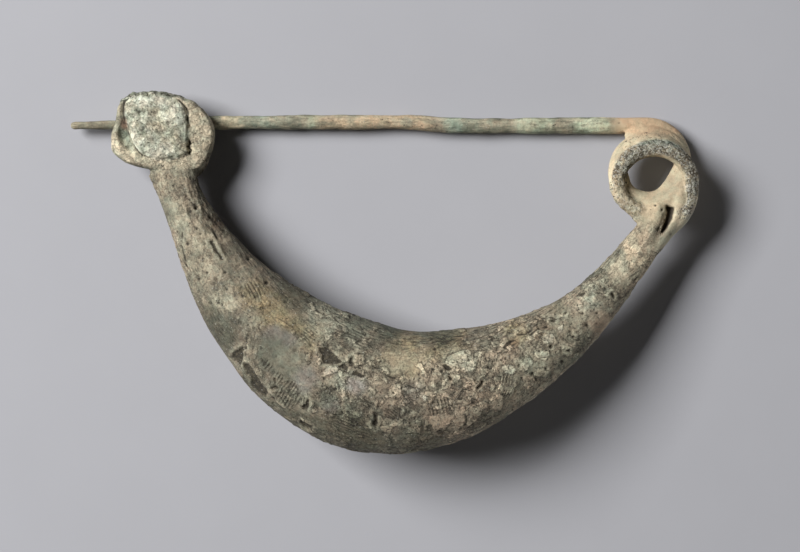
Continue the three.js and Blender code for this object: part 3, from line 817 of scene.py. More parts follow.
# scattered pits, denser on the head and the coil
for size, seed, amount, depth in ((1.3, 11, 0.3, 0.09), (0.75, 12, 0.4, 0.07)):
    near, name = flecks(size, seed)
    chosen = (name * 0.5 + 0.5) < amount
    pit = chosen * ease(0.42, 0.1, near + 0.2 * ragged)
    pit = pit * (1 - onPin * 0.7) * (1 - 0.8 * onCoil * (1 - frontRing))
    height -= depth * pit
    hollowShadeAndDirt = np.maximum(hollowShadeAndDirt, 0.55 * pit)

# the rough mass, the rim and the front turn of the spring
massRough = cloud(1.1, 14, 4)
height += onMass * (0.15 * massRough + 0.07 * cloud(2.4, 15))
height += onPlate * (0.1 * cloud(1.5, 16, 3))
height += frontRing * (0.11 * cloud(0.8, 17, 3))
height += onPin * (0.07 * cloud(2.2, 18, 2))
crackWidth = 0.12 + 0.1 * ease(-35.8, -36.8, x)
massCrack = onHead * np.exp(-((insideMass + 0.02 + 0.14 * wander) / crackWidth) ** 2) * ease(0.6, 1.0, z)
massCrack = massCrack * ease(-0.5, 0.2, cloud(1.4, 19)) * ease(25.4, 24.6, y)
height -= 0.26 * massCrack
hollowShadeAndDirt = np.maximum(hollowShadeAndDirt, massCrack)
hollow = ease(-0.3, 0.5, ovalGap((-36.9, 19.2), 1.9, 0.75, 114, 0.15 * wander)) * onHead * ease(0.3, 0.8, z)
height -= 0.5 * hollow * (1 - onMass)
topEdge = onHead * ease(0.9, 0.3, insideHead + 0.5 * wander) * ease(23.8, 24.8, y) * ease(-27.0, -29.0, x)
height += topEdge * (0.26 * cloud(0.9, 34, 2) - 0.08)
headStrokes = [
    ([(-27.9, 17.0), (-27.6, 17.7), (-28.1, 18.2), (-27.4, 18.8)], 0.17, 0.3),
    ([(-26.6, 22.9), (-26.0, 20.6), (-26.2, 18.2)], 0.12, 0.1),
    ([(-33.8, 13.3), (-32.6, 12.9), (-32.2, 13.6)], 0.2, 0.1),
    ([(-28.6, 12.9), (-28.2, 11.6), (-28.4, 10.4)], 0.12, 0.14),
    ([(-35.6, 23.4), (-34.9, 23.1)], 0.3, 0.12), ([(-36.2, 22.8), (-35.6, 22.6)], 0.22, 0.12),
    ([(-34.8, 24.2), (-31.4, 21.6), (-29.6, 20.8)], 0.5, -0.1),
    ([(-31.6, 24.6), (-30.8, 23.2), (-29.2, 23.4)], 0.35, -0.1),
    ([(-33.4, 19.2), (-31.4, 18.8), (-29.8, 17.6)], 0.3, 0.1),
]
for points, halfWidth, depth in headStrokes:
    groove = np.exp(-((lineGap(points) + 0.12 * wander) / halfWidth) ** 2) * facing
    height -= depth * groove
    if depth > 0:
        hollowShadeAndDirt = np.maximum(hollowShadeAndDirt, groove * min(depth * 5, 1))
movePoints(height)

# the narrow slit between the tongue and the spring's wire
slitCorners = [
    (39.5, 9.9), (40.8, 9.6), (40.5, 7.9), (39.7, 6.5), (38.8, 5.5), (38.8, 6.0), (39.4, 7.7), (39.7, 8.9),
]
slitDepth = 1.05
slit = ease(-0.06, 0.2, patchGap(slitCorners))
places[:, 2] -= slitDepth * slit
hollowShadeAndDirt = np.maximum(hollowShadeAndDirt, slit)
mesh.vertices.foreach_set("co", places.astype(np.float32).ravel())
mesh.update()
stageDone("relief carved")


# colours painted point by point
def paint(hexCode):
    parts = [int(hexCode[i:i + 2], 16) / 255 for i in (0, 2, 4)]
    return np.array([((c + 0.055) / 1.055) ** 2.4 if c > 0.04 else c / 12.92 for c in parts])


palette = {
    "earth": "7c7566", "tan": "8f8775", "cream": "b0a893", "pinkTan": "968775", "mustard": "897c5f",
    "greyGreen": "737364", "olive": "5b5849", "soot": "35322b", "paleGreen": "a3a594",
    "verdigris": "8b9889", "mint": "b2b9a0", "white": "d0cebf", "brown": "5f4d3d", "grey": "7a786f",
    "lilac": "827d78", "darkGreen": "50574a", "chestnut": "6b5040", "straw": "c1b398", "peach": "c0a486",
    "stone": "9c9885",
}
palette = {name: paint(code) for name, code in palette.items()}

# dabs of colour on the front: colour, middle, reach, strength
dabs = [
    ("tan", (-31.0, 14.0), 3.0, 0.7), ("greyGreen", (-31.2, 9.4), 1.8, 0.6),
    ("cream", (-29.6, 10.2), 1.2, 0.5), ("pinkTan", (-30.6, 5.0), 1.3, 0.8),
    ("pinkTan", (-29.4, 1.4), 1.2, 0.7), ("greyGreen", (-27.6, 2.8), 1.6, 0.7),
    ("tan", (-24.8, 1.0), 3.0, 0.7), ("cream", (-23.9, 0.5), 1.8, 0.4), ("cream", (-22.0, -3.4), 1.6, 0.4),
    ("stone", (-22.8, -3.6), 2.6, 0.6), ("brown", (-24.6, 7.6), 1.5, 0.6), ("tan", (-26.2, 4.0), 2.2, 0.6),
    ("earth", (-20.4, 2.0), 3.4, 0.8), ("tan", (-20.6, -0.6), 1.3, 0.6),
    ("mustard", (-18.6, -2.8), 2.2, 0.6), ("mustard", (-16.0, -5.2), 2.5, 0.8),
    ("mustard", (-13.4, -7.2), 2.3, 0.7), ("mustard", (-11.2, -8.6), 2.4, 0.6),
    ("straw", (3.2, -11.7), 2.6, 0.3), ("pinkTan", (8.6, -16.4), 7.0, 0.4),
    ("tan", (20.0, -11.0), 6.0, 0.4), ("straw", (36.0, 3.6), 2.8, 0.4), ("stone", (-12.0, -9.2), 1.0, 0.5),
    ("olive", (-12.6, -2.8), 2.6, 0.6), ("greyGreen", (-23.6, -7.6), 2.6, 0.8),
    ("olive", (-25.4, -5.4), 1.8, 0.7), ("olive", (-22.6, -8.8), 1.9, 0.6),
    ("stone", (-18.8, -6.4), 1.6, 0.5), ("lilac", (-15.6, -8.6), 1.6, 0.8),
    ("lilac", (-13.6, -9.2), 1.4, 0.7), ("greyGreen", (-16.0, -10.4), 2.4, 0.9),
    ("greyGreen", (-13.8, -12.0), 2.8, 0.8), ("stone", (-13.4, -11.2), 1.8, 0.4),
    ("tan", (-19.0, -10.0), 1.2, 0.6), ("pinkTan", (-16.0, -17.0), 0.9, 0.8),
    ("tan", (-18.0, -13.6), 1.0, 0.5), ("greyGreen", (-13.6, -16.6), 2.6, 0.6),
    ("olive", (-19.8, -14.8), 1.4, 0.7), ("olive", (-16.8, -18.6), 1.6, 0.8),
    ("olive", (-12.6, -20.8), 2.6, 0.8), ("lilac", (-11.2, -14.6), 1.8, 0.6),
    ("lilac", (-4.3, -15.0), 1.5, 0.8), ("lilac", (-7.6, -18.2), 1.2, 0.7),
    ("verdigris", (-6.6, -14.8), 1.2, 0.35), ("greyGreen", (-8.0, -16.8), 1.6, 0.7),
    ("greyGreen", (-5.2, -19.0), 2.0, 0.7), ("paleGreen", (-8.8, -6.0), 2.8, 0.45),
    ("paleGreen", (-4.4, -7.6), 2.4, 0.45), ("olive", (-3.6, -22.4), 3.4, 0.8),
    ("olive", (-8.0, -21.6), 2.6, 0.7), ("greyGreen", (-4.0, -6.8), 2.2, 0.7),
    ("darkGreen", (0.6, -7.6), 1.8, 0.6), ("darkGreen", (5.0, -8.6), 1.8, 0.6),
    ("tan", (-6.6, -9.6), 1.6, 0.5), ("tan", (-5.8, -11.4), 1.2, 0.6), ("tan", (-2.8, -12.0), 1.8, 0.5),
    ("mustard", (2.6, -11.4), 3.0, 0.8), ("tan", (1.6, -12.0), 2.4, 0.6), ("tan", (6.0, -11.4), 2.4, 0.6),
    ("mustard", (8.6, -9.6), 2.6, 0.6), ("pinkTan", (1.0, -17.4), 2.4, 0.5),
    ("grey", (3.6, -16.2), 1.6, 0.5), ("tan", (8.0, -15.8), 2.6, 0.6), ("pinkTan", (9.6, -17.0), 2.2, 0.6),
    ("darkGreen", (8.0, -8.2), 2.0, 0.6), ("stone", (9.6, -11.8), 1.8, 0.6),
    ("pinkTan", (7.6, -20.2), 2.4, 0.6), ("pinkTan", (12.4, -16.6), 2.2, 0.5),
    ("tan", (15.6, -17.4), 2.0, 0.5), ("tan", (13.6, -12.4), 2.4, 0.5),
    ("pinkTan", (16.6, -11.0), 2.0, 0.6), ("greyGreen", (17.6, -14.4), 1.6, 0.5),
    ("olive", (5.0, -23.2), 3.0, 0.7), ("greyGreen", (3.2, -19.8), 1.4, 0.5),
    ("olive", (15.0, -20.8), 2.2, 0.5), ("stone", (21.4, -11.6), 2.2, 0.6),
    ("greyGreen", (20.4, -13.2), 2.0, 0.5), ("mustard", (18.2, -8.0), 1.6, 0.7),
    ("brown", (18.0, -9.2), 0.8, 0.6), ("brown", (21.8, -7.7), 1.3, 0.6), ("tan", (24.6, -9.0), 2.4, 0.6),
    ("tan", (26.6, -6.6), 2.4, 0.6), ("greyGreen", (24.8, -12.0), 1.8, 0.5),
    ("olive", (24.4, -4.6), 1.4, 0.5), ("pinkTan", (26.6, -3.8), 1.4, 0.6),
    ("paleGreen", (28.6, -3.6), 1.8, 0.4), ("pinkTan", (30.0, -6.6), 1.7, 0.65),
    ("brown", (30.4, -7.6), 1.0, 0.4), ("tan", (33.2, -0.2), 2.6, 0.7), ("stone", (32.6, 1.2), 1.6, 0.4),
    ("pinkTan", (36.4, 4.0), 1.8, 0.6), ("cream", (37.8, 3.4), 0.9, 0.7),
]

tone = np.tile(palette["earth"], (len(places), 1))


def brush(colour, amount):
    global tone
    amount = np.clip(amount, 0, 1)[:, None]
    tone = tone * (1 - amount) + palette[colour] * amount


broad = cloud(5.0, 21, 2)
brush("greyGreen", ease(0.0, 0.5, broad) * 0.6)
brush("tan", ease(0.05, 0.5, -broad) * 0.6)
brush("pinkTan", ease(0.1, 0.5, cloud(3.5, 22, 2)) * 0.4)
for colour, middle, reach, strength in dabs:
    brush(colour, strength * facing * ease(1.4, 0.5, awayFrom(middle, reach) + edgeWander))
for gap, (colour, strength, corners) in zip(plateGaps, plates):
    blur = 0.24 if corners[0][0] < -20 else 0.1
    fading = 1 - 0.35 * ease(18, 28, x)
    brush(colour, 0.55 * strength * fading * ease(-blur, blur, gap + blur * wander))
brush("stone", 0.5 * np.exp(-((bare + 0.32) / 0.22) ** 2))
brush("cream", 0.65 * ridges)
brush("cream", 0.32 * armFlakes * ease(-0.5, 0.3, wander))
brush("brown", 0.4 * armCrevices)

# the wire: peach and cream earth on the coil, greens in stretches along the pin
pinBands = [
    ("straw", 32.0, 2.0, 0.8), ("mint", 28.6, 2.2, 0.9), ("stone", 25.6, 1.2, 0.7),
    ("mint", 21.6, 2.8, 0.8), ("tan", 24.6, 0.8, 0.6), ("tan", 16.2, 1.6, 0.7),
    ("verdigris", 10.2, 1.8, 0.8), ("greyGreen", 12.0, 1.2, 0.8), ("pinkTan", 7.0, 1.0, 0.8),
    ("straw", -1.2, 5.6, 0.7), ("peach", -0.6, 3.4, 0.5), ("mint", -10.8, 0.8, 0.7),
    ("greyGreen", -14.2, 1.6, 0.9), ("verdigris", -18.4, 1.9, 0.6), ("greyGreen", -20.0, 1.6, 0.6),
    ("straw", -22.6, 1.4, 0.9), ("straw", -42.0, 4.0, 0.4), ("peach", 4.6, 1.4, 0.6),
    ("peach", -8.0, 2.0, 0.5),
]
brush("stone", onWire)
for colour, middle, reach, strength in pinBands:
    brush(colour, strength * onPin * ease(1.4, 0.6, np.abs(x - middle) / reach + 2.2 * edgeWander))
brush("darkGreen", onPin * 0.5 * ease(0.3, -0.5, z + 2.7 + wander) * ease(-0.2, 0.4, cloud(3.0, 30)))
# the pin's edges above and below, as it lies, painted dark green: painted shade where the round pin turns
# away, broken up in patches
pinEdgeShade = ease(0.7, 0.95, np.abs(np.sin(wireRound)))
pinMottle = cloud(0.8, 38, 3, pinWrap * (0.4, 1, 1))
brush("darkGreen", onPin * 0.55 * pinEdgeShade * ease(-0.35, 0.25, cloud(2.4, 39, 2)))
brush("darkGreen", onPin * 0.42 * ease(0.12, 0.3, pinMottle))
brush("cream", onPin * 0.35 * ease(0.08, 0.3, -pinMottle))
brush("straw", onCoil * 0.9)
brush("tan", onCoil * ease(0.0, 0.5, cloud(2.0, 24, 2)) * 0.35)
bend = ease(31.6, 33.6, x) * ease(19.4, 20.6, y) * (1 - onHead)
brush("peach", bend * 0.8)
smallCloud = cloud(0.6, 33, 2)
brush("soot", frontRing * ease(-0.5, 0.15, cloud(1.2, 25, 3)) * 0.6 * (1 - 0.6 * lowerLeft))
whiteGrains = ease(0.0, 0.2, smallCloud) * ease(-0.6, 0.0, cloud(1.8, 36))
brush("white", frontRing * whiteGrains * (0.9 - 0.6 * lowerLeft))
# darker inside the turns at the lower left: painted shade on the inner wall
brush("olive", onCoil * (1 - frontRing) * ease(1.2, 0.4, awayFrom((34.9, 12.2), 1.7)) * 0.45)
upperArc = ease(45, 60, ringAngle) * ease(125, 110, ringAngle)
brush("verdigris", onCoil * np.exp(-((ringAcross - 1.17) / 0.07) ** 2) * upperArc * 0.8)
brush("cream", ease(1.25, 0.6, awayFrom((40.6, 8.2), 2.0)) * onCoil * (1 - frontRing) * 0.5)
brush("lilac", ease(1.2, 0.7, np.hypot((x - 43.2) / 0.8, (y - 8.6) / 1.3)) * 0.6)
brush("cream", frontRing * ease(0.0, 0.25, -smallCloud) * lowerRight * 0.6)
# the slit painted dark brown: painted shade inside the deep slit
brush("brown", slit * 0.8)

# the head
brush("cream", onPlate * 0.75)
brush("tan", onPlate * ease(0.0, 0.4, cloud(1.6, 31, 3)) * 0.5)
plateLeft = onPlate * ease(-35.6, -37.0, x) * ease(19.0, 20.4, y)
brush("stone", plateLeft * 0.9)
brush("greyGreen", plateLeft * ease(0, 0.4, wander) * 0.6)
brush("paleGreen", onMass * 0.95)
brush("white", onMass * ease(-0.1, 0.3, cloud(1.1, 27, 3)) * 0.5)
brush("stone", onMass * ease(0.05, 0.35, cloud(1.3, 28, 3)) * 0.6)
brush("white", onMass * ease(0.1, 0.4, smallCloud) * 0.5)
brush("darkGreen", onMass * ease(0.2, 0.5, -smallCloud) * 0.4)
headDabs = [
    ("straw", (-32.6, 21.6), 1.5, 0.5), ("straw", (-31.0, 19.9), 1.4, 0.5),
    ("straw", (-29.0, 18.6), 1.6, 0.4), ("greyGreen", (-32.6, 19.5), 1.0, 0.6),
    ("verdigris", (-30.8, 20.3), 0.8, 0.5), ("white", (-31.6, 24.4), 0.9, 0.8),
    ("white", (-35.2, 24.8), 1.2, 0.4), ("white", (-29.4, 22.6), 1.4, 0.5),
    ("greyGreen", (-35.7, 23.5), 0.8, 0.7), ("cream", (-38.0, 17.4), 1.6, 0.8),
    ("cream", (-35.6, 15.8), 1.8, 0.6), ("cream", (-25.6, 20.6), 1.6, 0.4),
    ("darkGreen", (-34.6, 20.4), 0.9, 0.4), ("verdigris", (-28.6, 19.4), 0.8, 0.5),
    ("white", (-32.6, 17.8), 1.6, 0.4),
]
for colour, middle, reach, strength in headDabs:
    brush(colour, 0.75 * strength * onHead * facing * ease(1.4, 0.5, awayFrom(middle, reach) + edgeWander))
brush("darkGreen", topEdge * 0.85)
brush("white", topEdge * ease(0.1, 0.4, smallCloud) * 0.55)
brush("verdigris", hollow * 0.6)
brush("darkGreen", hollow * ease(-0.3, 0.3, wander) * 0.8)
# the plate's lower-left rim edge painted dark green: painted shade below the rim
rimLowerEdgeShade = onPlate * ease(0.4, 0.1, insideHead) * ease(18.6, 17.4, y) * ease(-31, -33, x)
brush("darkGreen", rimLowerEdgeShade * 0.6)
brush("chestnut", onHead * ease(0.8, 0.3, np.hypot(x + 37.1, (y - 21.4) / 1.5)) * 0.8)
# the bow's right half is painted lighter: partly its own tone, partly painted light where it faces away from
# the key lamp
lighter = 1.13 + 0.08 * onBow + 0.28 * ease(-4, 22, x) * onBow + 0.2 * onHead
# broad lighter and darker places: middle, reach, factor; the surface's own tone mixed with painted light and
# shade
# painted light among them: the pin beside the head lit up inside the head's shadow, a painted highlight on
# the head's lower-left rim, painted shade along the bow's upper inner edge
toneAndPaintedLightSpots = [
    ((-15.0, -10.8), 4.4, 0.66), ((-22.0, -8.4), 3.6, 0.66), ((-18.0, -14.5), 2.4, 0.85),
    ((-23.6, -1.0), 2.6, 0.9), ((2.0, -8.2), 2.4, 0.85), ((7.0, -8.6), 2.4, 0.76), ((12.0, -8.8), 2.4, 0.8),
    ((3.6, -12.0), 3.6, 1.3), ((33.4, 13.4), 2.6, 1.35), ((38.0, 18.0), 2.2, 1.14),
    ((-4.6, -14.2), 3.8, 1.42), ((8.6, -15.6), 4.6, 1.14), ((19.0, -13.0), 4.4, 1.16),
    ((35.6, 1.2), 3.4, 1.28), ((-30.6, 9.6), 2.6, 0.9), ((-25.0, 2.0), 3.6, 0.97),
    ((-8.4, -6.2), 3.4, 1.22), ((16.4, -12.0), 4.0, 1.06), ((28.0, -6.0), 4.0, 1.02),
    ((-28.6, 6.0), 3.2, 1.18), ((-15.0, -5.6), 2.8, 1.14), ((-22.6, -1.0), 3.0, 0.86),
    ((-19.4, 1.6), 2.4, 1.1), ((40.5, 12.6), 4.0, 0.84), ((38.0, 20.0), 3.4, 0.88), ((41.2, 8.6), 1.8, 1.2),
    ((-42.0, 21.4), 4.0, 0.68), ((-37.8, 18.2), 2.6, 1.3), ((-25.0, -6.0), 3.0, 0.9),
    ((-23.0, 21.9), 2.6, 1.5), ((-17.0, 21.9), 4.0, 1.12), ((10.0, 21.6), 5.0, 1.26),
    ((17.0, 21.4), 4.0, 1.1), ((29.0, 21.4), 2.6, 1.22),
]
for middle, reach, factor in toneAndPaintedLightSpots:
    lighter *= 1 + (factor - 1) * facing * ease(1.35, 0.4, awayFrom(middle, reach) + 0.5 * edgeWander)
# the colour takes the painted light and shade above, and the slit a further painted shade
tone = tone * (lighter * (1 - 0.25 * slit))[:, None]

# how the fine pattern lies: scales of crust, streaks along the metal, dark dots and pale grains
rightHalf = ease(-11.0, -4.0, x + 2 * wander)
scaly = onBow * (0.35 + 0.65 * rightHalf) * ease(-0.6, 0.3, slow + 0.8 * cloud(3.0, 32))
scaly = np.maximum(scaly, onHead * 0.6)
streaky = np.maximum(ease(0.3, 1.2, -bowRound), 0.7 * ease(0.8, 1.4, bowRound) * ease(6, -2, x))
streaky = onBow * np.maximum(streaky, 0.22) + 0.32 * onPin
darkDots = np.clip(onBow * (0.34 + 0.2 * ease(-18, -8, x)) + 0.35 * onHead + 0.1 * onCoil + 0.3 * onPin, 0, 1)
paleDots = np.clip((0.45 + 0.1 * ease(-12, -20, x)) * onBow + 0.3 * onHead + 0.1 * onCoil + 0.3 * onPin, 0, 1)
darkDots = np.maximum(darkDots, frontRing * (0.95 - 0.45 * lowerLeft))
paleDots = np.maximum(paleDots, frontRing * (1.2 - 0.5 * lowerLeft))
darkDots = np.maximum(darkDots, 0.8 * topEdge)
betweenTurns = ease(1.22, 1.3, ringAcross) * ease(1.6, 1.45, ringAcross)
betweenTurns = betweenTurns * ease(55, 75, ringAngle) * ease(150, 125, ringAngle)
darkDots = np.maximum(darkDots, 0.6 * onCoil * betweenTurns)
grainy = np.clip(onBow + 0.9 * onHead + 0.6 * onPin + 0.4 * onCoil + frontRing, 0, 1)
darkDots *= 1 - quiet
paleDots *= 1 - quiet
scaly *= 1 - quiet
grainy *= 1 - 0.5 * quiet
grainy *= 1 + 0.1 * onBow * ease(-12, -20, x)
grainy *= 1 - 0.4 * onBow * ease(0.05, 0.35, np.max(plateGaps, axis=0))
stageDone("colours painted")


def keep(name, kind, values):
    layer = mesh.attributes.new(name, kind, "POINT")
    field = {"FLOAT": "value", "FLOAT_VECTOR": "vector", "FLOAT_COLOR": "color"}[kind]
    layer.data.foreach_set(field, np.ascontiguousarray(values, np.float32).ravel())


keep("tone", "FLOAT_COLOR", np.concatenate([tone, np.ones((len(places), 1))], 1))
keep("place", "FLOAT_VECTOR", places)
keep("wrap", "FLOAT_VECTOR", wrap)
plainLayers = {
    "crust": crust, "bare": bare, "hollowShadeAndDirt": hollowShadeAndDirt, "darkDots": darkDots, "paleDots": paleDots,
    "combed": combed, "combPhase": combPhase, "scaly": scaly, "streaky": streaky, "grainy": grainy,
    "flaky": flaky,
}
for name, values in plainLayers.items():
    keep(name, "FLOAT", values)


def countTriangles():
    return sum(len(p.vertices) - 2 for p in mesh.polygons)


# fewer faces where it is smooth
if countTriangles() > cast["triangles"]:
    thin = brooch.modifiers.new("thin", "DECIMATE")
    thin.ratio = cast["triangles"] / countTriangles()
    takeModifiers(brooch)
    mesh = brooch.data
mesh.polygons.foreach_set("use_smooth", [True] * len(mesh.polygons))
stageDone(f"{countTriangles()} triangles")

# laid down
turn = Matrix.Rotation(lay["tilt"], 4, "X") @ Matrix.Rotation(lay["roll"], 4, "Y")
mesh.transform(Matrix.Scale(lay["millimetre"], 4) @ turn)
corners = np.empty(len(mesh.vertices) * 3, np.float32)
mesh.vertices.foreach_get("co", corners)
corners = corners.reshape(-1, 3)
low, high = corners.min(0), corners.max(0)
cadLow, cadHigh = cadBox
shift = Vector((
    (cadLow.x + cadHigh.x - low[0] - high[0]) / 2,
    (cadLow.y + cadHigh.y - low[1] - high[1]) / 2,
    cadHigh.z - high[2],
))
mesh.transform(Matrix.Translation(shift))
for v in mesh.vertices:
    v.co.z = max(v.co.z, cadLow.z)
placed = Matrix.Translation(shift) @ Matrix.Scale(lay["millimetre"], 4) @ turn
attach(brooch, "root")
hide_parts("fibula")


# finish
def addNode(tree, kind, settings=None, values=None):
    made = tree.nodes.new("ShaderNode" + kind)
    for name, value in (settings or {}).items():
        setattr(made, name, value)
    for name, value in (values or {}).items():
        if isinstance(value, bpy.types.NodeSocket):
            tree.links.new(value, made.inputs[name])
        else:
            made.inputs[name].default_value = value
    return made


finish = {
    # sizes in millimetres
    "scale": 1.0,
    "push": 1.5,  # how far the scales' edges wander
    "flake": 0.42,
    "grain": 0.32,
    "dot": 0.4,
    "speck": 0.22,
    "streakStretch": (0.4, 2.8, 1.0),
    "bareColour": (0.036, 0.03, 0.019, 1),
    "bareSheen": (0.078, 0.065, 0.041, 1),
    # a dark earth colour for dirt, also used for painted shade in recesses
    "dirtAndShadeColour": (0.035, 0.028, 0.019, 1),
    "paleColour": (0.58, 0.56, 0.48, 1),
    "streakColour": (0.045, 0.038, 0.026, 1),
    "warmTint": (1.04, 0.98, 0.93, 1),
    "coolTint": (0.97, 1.01, 0.98, 1),
    "crustGain": 1.3,
}


def patinatedBronze():
    material = bpy.data.materials.new("patinatedBronze")
    material.use_nodes = True
    tree = material.node_tree
    skin = tree.nodes["Principled BSDF"]

    def stored(name, part="Fac"):
        return addNode(tree, "Attribute", {"attribute_name": name}).outputs[part]

    def sums(operation, a, b=0.0, c=0.0):
        return addNode(tree, "Math", {"operation": operation}, {0: a, 1: b, 2: c}).outputs[0]

    def times(a, b):
        return sums("MULTIPLY", a, b)

    def plus(a, b):
        return sums("ADD", a, b)

    def minus(a, b):
        return sums("SUBTRACT", a, b)

    def grains(vector, size, detail=2.0, roughness=0.6):
        values = {"Vector": vector, "Scale": 1 / size, "Detail": detail, "Roughness": roughness}
        return addNode(tree, "TexNoise", {"noise_dimensions": "3D"}, values)

    def cells(vector, size, feature):
        return addNode(tree, "TexVoronoi", {"feature": feature}, {"Vector": vector, "Scale": 1 / size})

    def step(value, low, high, bottom=0.0, top=1.0):
        values = {"Value": value, "From Min": low, "From Max": high, "To Min": bottom, "To Max": top}
        return addNode(tree, "MapRange", {"interpolation_type": "SMOOTHSTEP"}, values).outputs[0]

    def mixed(amount, a, b, mode="MIX"):
        made = addNode(tree, "Mix", {"data_type": "RGBA", "blend_type": mode}, {0: amount, 6: a, 7: b})
        return made.outputs[2]

    def tinted(colour, value):
        made = addNode(tree, "VectorMath", {"operation": "SCALE"}, {0: colour, 3: value})
        return made.outputs[0]

    place = stored("place", "Vector")
    wrap = stored("wrap", "Vector")
    tone = stored("tone", "Color")
    crust, bare, hollowShadeAndDirt = stored("crust"), stored("bare"), stored("hollowShadeAndDirt")
    darkDots, paleDots = stored("darkDots"), stored("paleDots")
    combed, combPhase = stored("combed"), stored("combPhase")
    scaly, streaky, grainy, flaky = stored("scaly"), stored("streaky"), stored("grainy"), stored("flaky")

    drift = grains(place, 0.9, 3, 0.6).outputs["Color"]
    push = {0: drift, 1: (finish["push"],) * 3, 2: place}
    pushed = addNode(tree, "VectorMath", {"operation": "MULTIPLY_ADD"}, push).outputs[0]
    bigCell = cells(pushed, finish["scale"], "F1")
    bigEdge = cells(pushed, finish["scale"], "DISTANCE_TO_EDGE").outputs["Distance"]
    smallCell = cells(pushed, finish["flake"], "F1")
    mottle = grains(place, 1.8, 5, 0.65).outputs[0]
    fine = grains(place, finish["grain"], 4, 0.7).outputs[0]
    dots = grains(place, finish["dot"], 2.5, 0.6).outputs[0]
    specks = grains(place, finish["speck"], 1.5, 0.5).outputs[0]
    elsewhere = addNode(tree, "Mapping", None, {"Vector": place, "Location": (31, 7, 3)}).outputs[0]
    paleGrain = grains(elsewhere, 0.28, 2.0, 0.55).outputs[0]
    hueDrift = grains(elsewhere, 1.3, 4, 0.6).outputs[0]
    stretched = addNode(tree, "Mapping", None, {"Vector": wrap, "Scale": finish["streakStretch"]}).outputs[0]
    streaks = grains(stretched, 1.0, 4, 0.7).outputs[0]

    bigShade = addNode(tree, "SeparateColor", None, {0: bigCell.outputs["Color"]}).outputs[0]
    smallShade = addNode(tree, "SeparateColor", None, {0: smallCell.outputs["Color"]}).outputs[0]
    bigLift = times(minus(bigShade, 0.5), scaly)
    smallLift = times(minus(smallShade, 0.5), sums("MULTIPLY_ADD", scaly, 0.7, 0.3))

    # warmer and cooler, then lighter and darker
    warm = mixed(1.0, tone, finish["warmTint"], "MULTIPLY")
    cool = mixed(1.0, tone, finish["coolTint"], "MULTIPLY")
    colour = mixed(step(hueDrift, 0.38, 0.62), cool, warm)
    value = plus(step(mottle, 0.28, 0.72, 0.76, 1.24), times(bigLift, 0.72))
    value = plus(value, times(smallLift, 0.62))
    value = plus(value, step(fine, 0.3, 0.7, -0.25, 0.25))
    value = plus(value, step(specks, 0.35, 0.65, -0.14, 0.14))
    value = sums("MULTIPLY_ADD", minus(value, 1.0), grainy, 1.0)
    colour = tinted(colour, value)
    raised = times(step(streaks, 0.46, 0.34, 0, 1), streaky)
    colour = tinted(colour, sums("MULTIPLY_ADD", raised, 0.35, 1.0))
    streaked = times(step(streaks, 0.52, 0.62, 0, 0.85), streaky)
    colour = mixed(streaked, colour, finish["streakColour"])
    # crust, lighter than what it lies on, broken up at its edges
    edge = sums("MULTIPLY_ADD", fine, 0.9, plus(crust, -0.45))
    crusted = times(step(edge, -0.04, 0.08), sums("MULTIPLY_ADD", flaky, 0.8, 0.2))
    colour = tinted(colour, step(crusted, 0, 1, 0.94, finish["crustGain"]))
    outline = times(step(edge, -0.22, -0.08), step(edge, 0.04, -0.04))
    colour = mixed(times(times(outline, 0.45), flaky), colour, finish["dirtAndShadeColour"])
    # dark seams between the scales
    seam = times(step(sums("MULTIPLY_ADD", fine, 0.12, bigEdge), 0.13, 0.06), scaly)
    colour = mixed(times(seam, 0.5), colour, finish["dirtAndShadeColour"])
    # bare metal
    bared = step(sums("MULTIPLY_ADD", fine, 0.8, plus(bare, -0.4)), -0.04, 0.08)
    bareLook = mixed(step(dots, 0.4, 0.62), finish["bareColour"], finish["bareSheen"])
    bareLook = tinted(bareLook, step(fine, 0.3, 0.7, 0.5, 1.45))
    colour = mixed(times(bared, 0.95), colour, bareLook)
    # dark dots and pale grains
    darkLevel = sums("MULTIPLY_ADD", darkDots, -0.2, 0.73)
    dotted = step(minus(dots, darkLevel), -0.02, 0.05)
    speckled = step(minus(specks, plus(darkLevel, 0.02)), -0.01, 0.05)
    darkened = sums("MAXIMUM", dotted, times(speckled, 0.8))
    colour = mixed(times(darkened, 0.8), colour, finish["dirtAndShadeColour"])
    paleLevel = sums("MULTIPLY_ADD", paleDots, -0.19, 0.76)
    paled = step(minus(paleGrain, paleLevel), -0.01, 0.05)
    colour = mixed(times(paled, 0.65), colour, finish["paleColour"])
    # darker in the combed strokes' grooves, and dirt and painted shade in the recesses
    strokeTurn = times(combPhase, 2 * math.pi)
    wave = addNode(tree, "Math", {"operation": "COSINE"}, {0: strokeTurn}).outputs[0]
    stroked = times(step(wave, 0.2, -0.7), combed)
    colour = mixed(times(stroked, 0.6), colour, finish["dirtAndShadeColour"])
    # painted shade, mixed with dirt, in the recesses
    hollowShadeAndDirtMix = step(sums("MULTIPLY_ADD", fine, 0.4, plus(hollowShadeAndDirt, -0.2)), 0.25, 0.8, 0, 0.9)
    colour = mixed(hollowShadeAndDirtMix, colour, finish["dirtAndShadeColour"])
    tree.links.new(colour, skin.inputs["Base Color"])

    rough = minus(step(fine, 0.3, 0.7, 0.7, 0.9), times(bared, 0.1))
    tree.links.new(rough, skin.inputs["Roughness"])
    skin.inputs["Metallic"].default_value = 0.0
    skin.inputs["Specular IOR Level"].default_value = 0.4

    # heights in millimetres
    height = times(times(fine, 0.16), grainy)
    for part, amount in (
        (bigLift, 0.16), (smallLift, 0.12), (seam, -0.08), (crusted, 0.08), (bared, -0.05), (darkened, -0.12),
        (paled, 0.07), (stroked, -0.07), (streaked, -0.12), (raised, 0.06), (mottle, 0.16),
    ):
        height = sums("MULTIPLY_ADD", part, amount, height)
    bump = addNode(tree, "Bump", None, {"Strength": 1.0, "Distance": lay["millimetre"], "Height": height})
    tree.links.new(bump.outputs[0], skin.inputs["Normal"])
    return material


mesh.materials.clear()
mesh.materials.append(patinatedBronze())

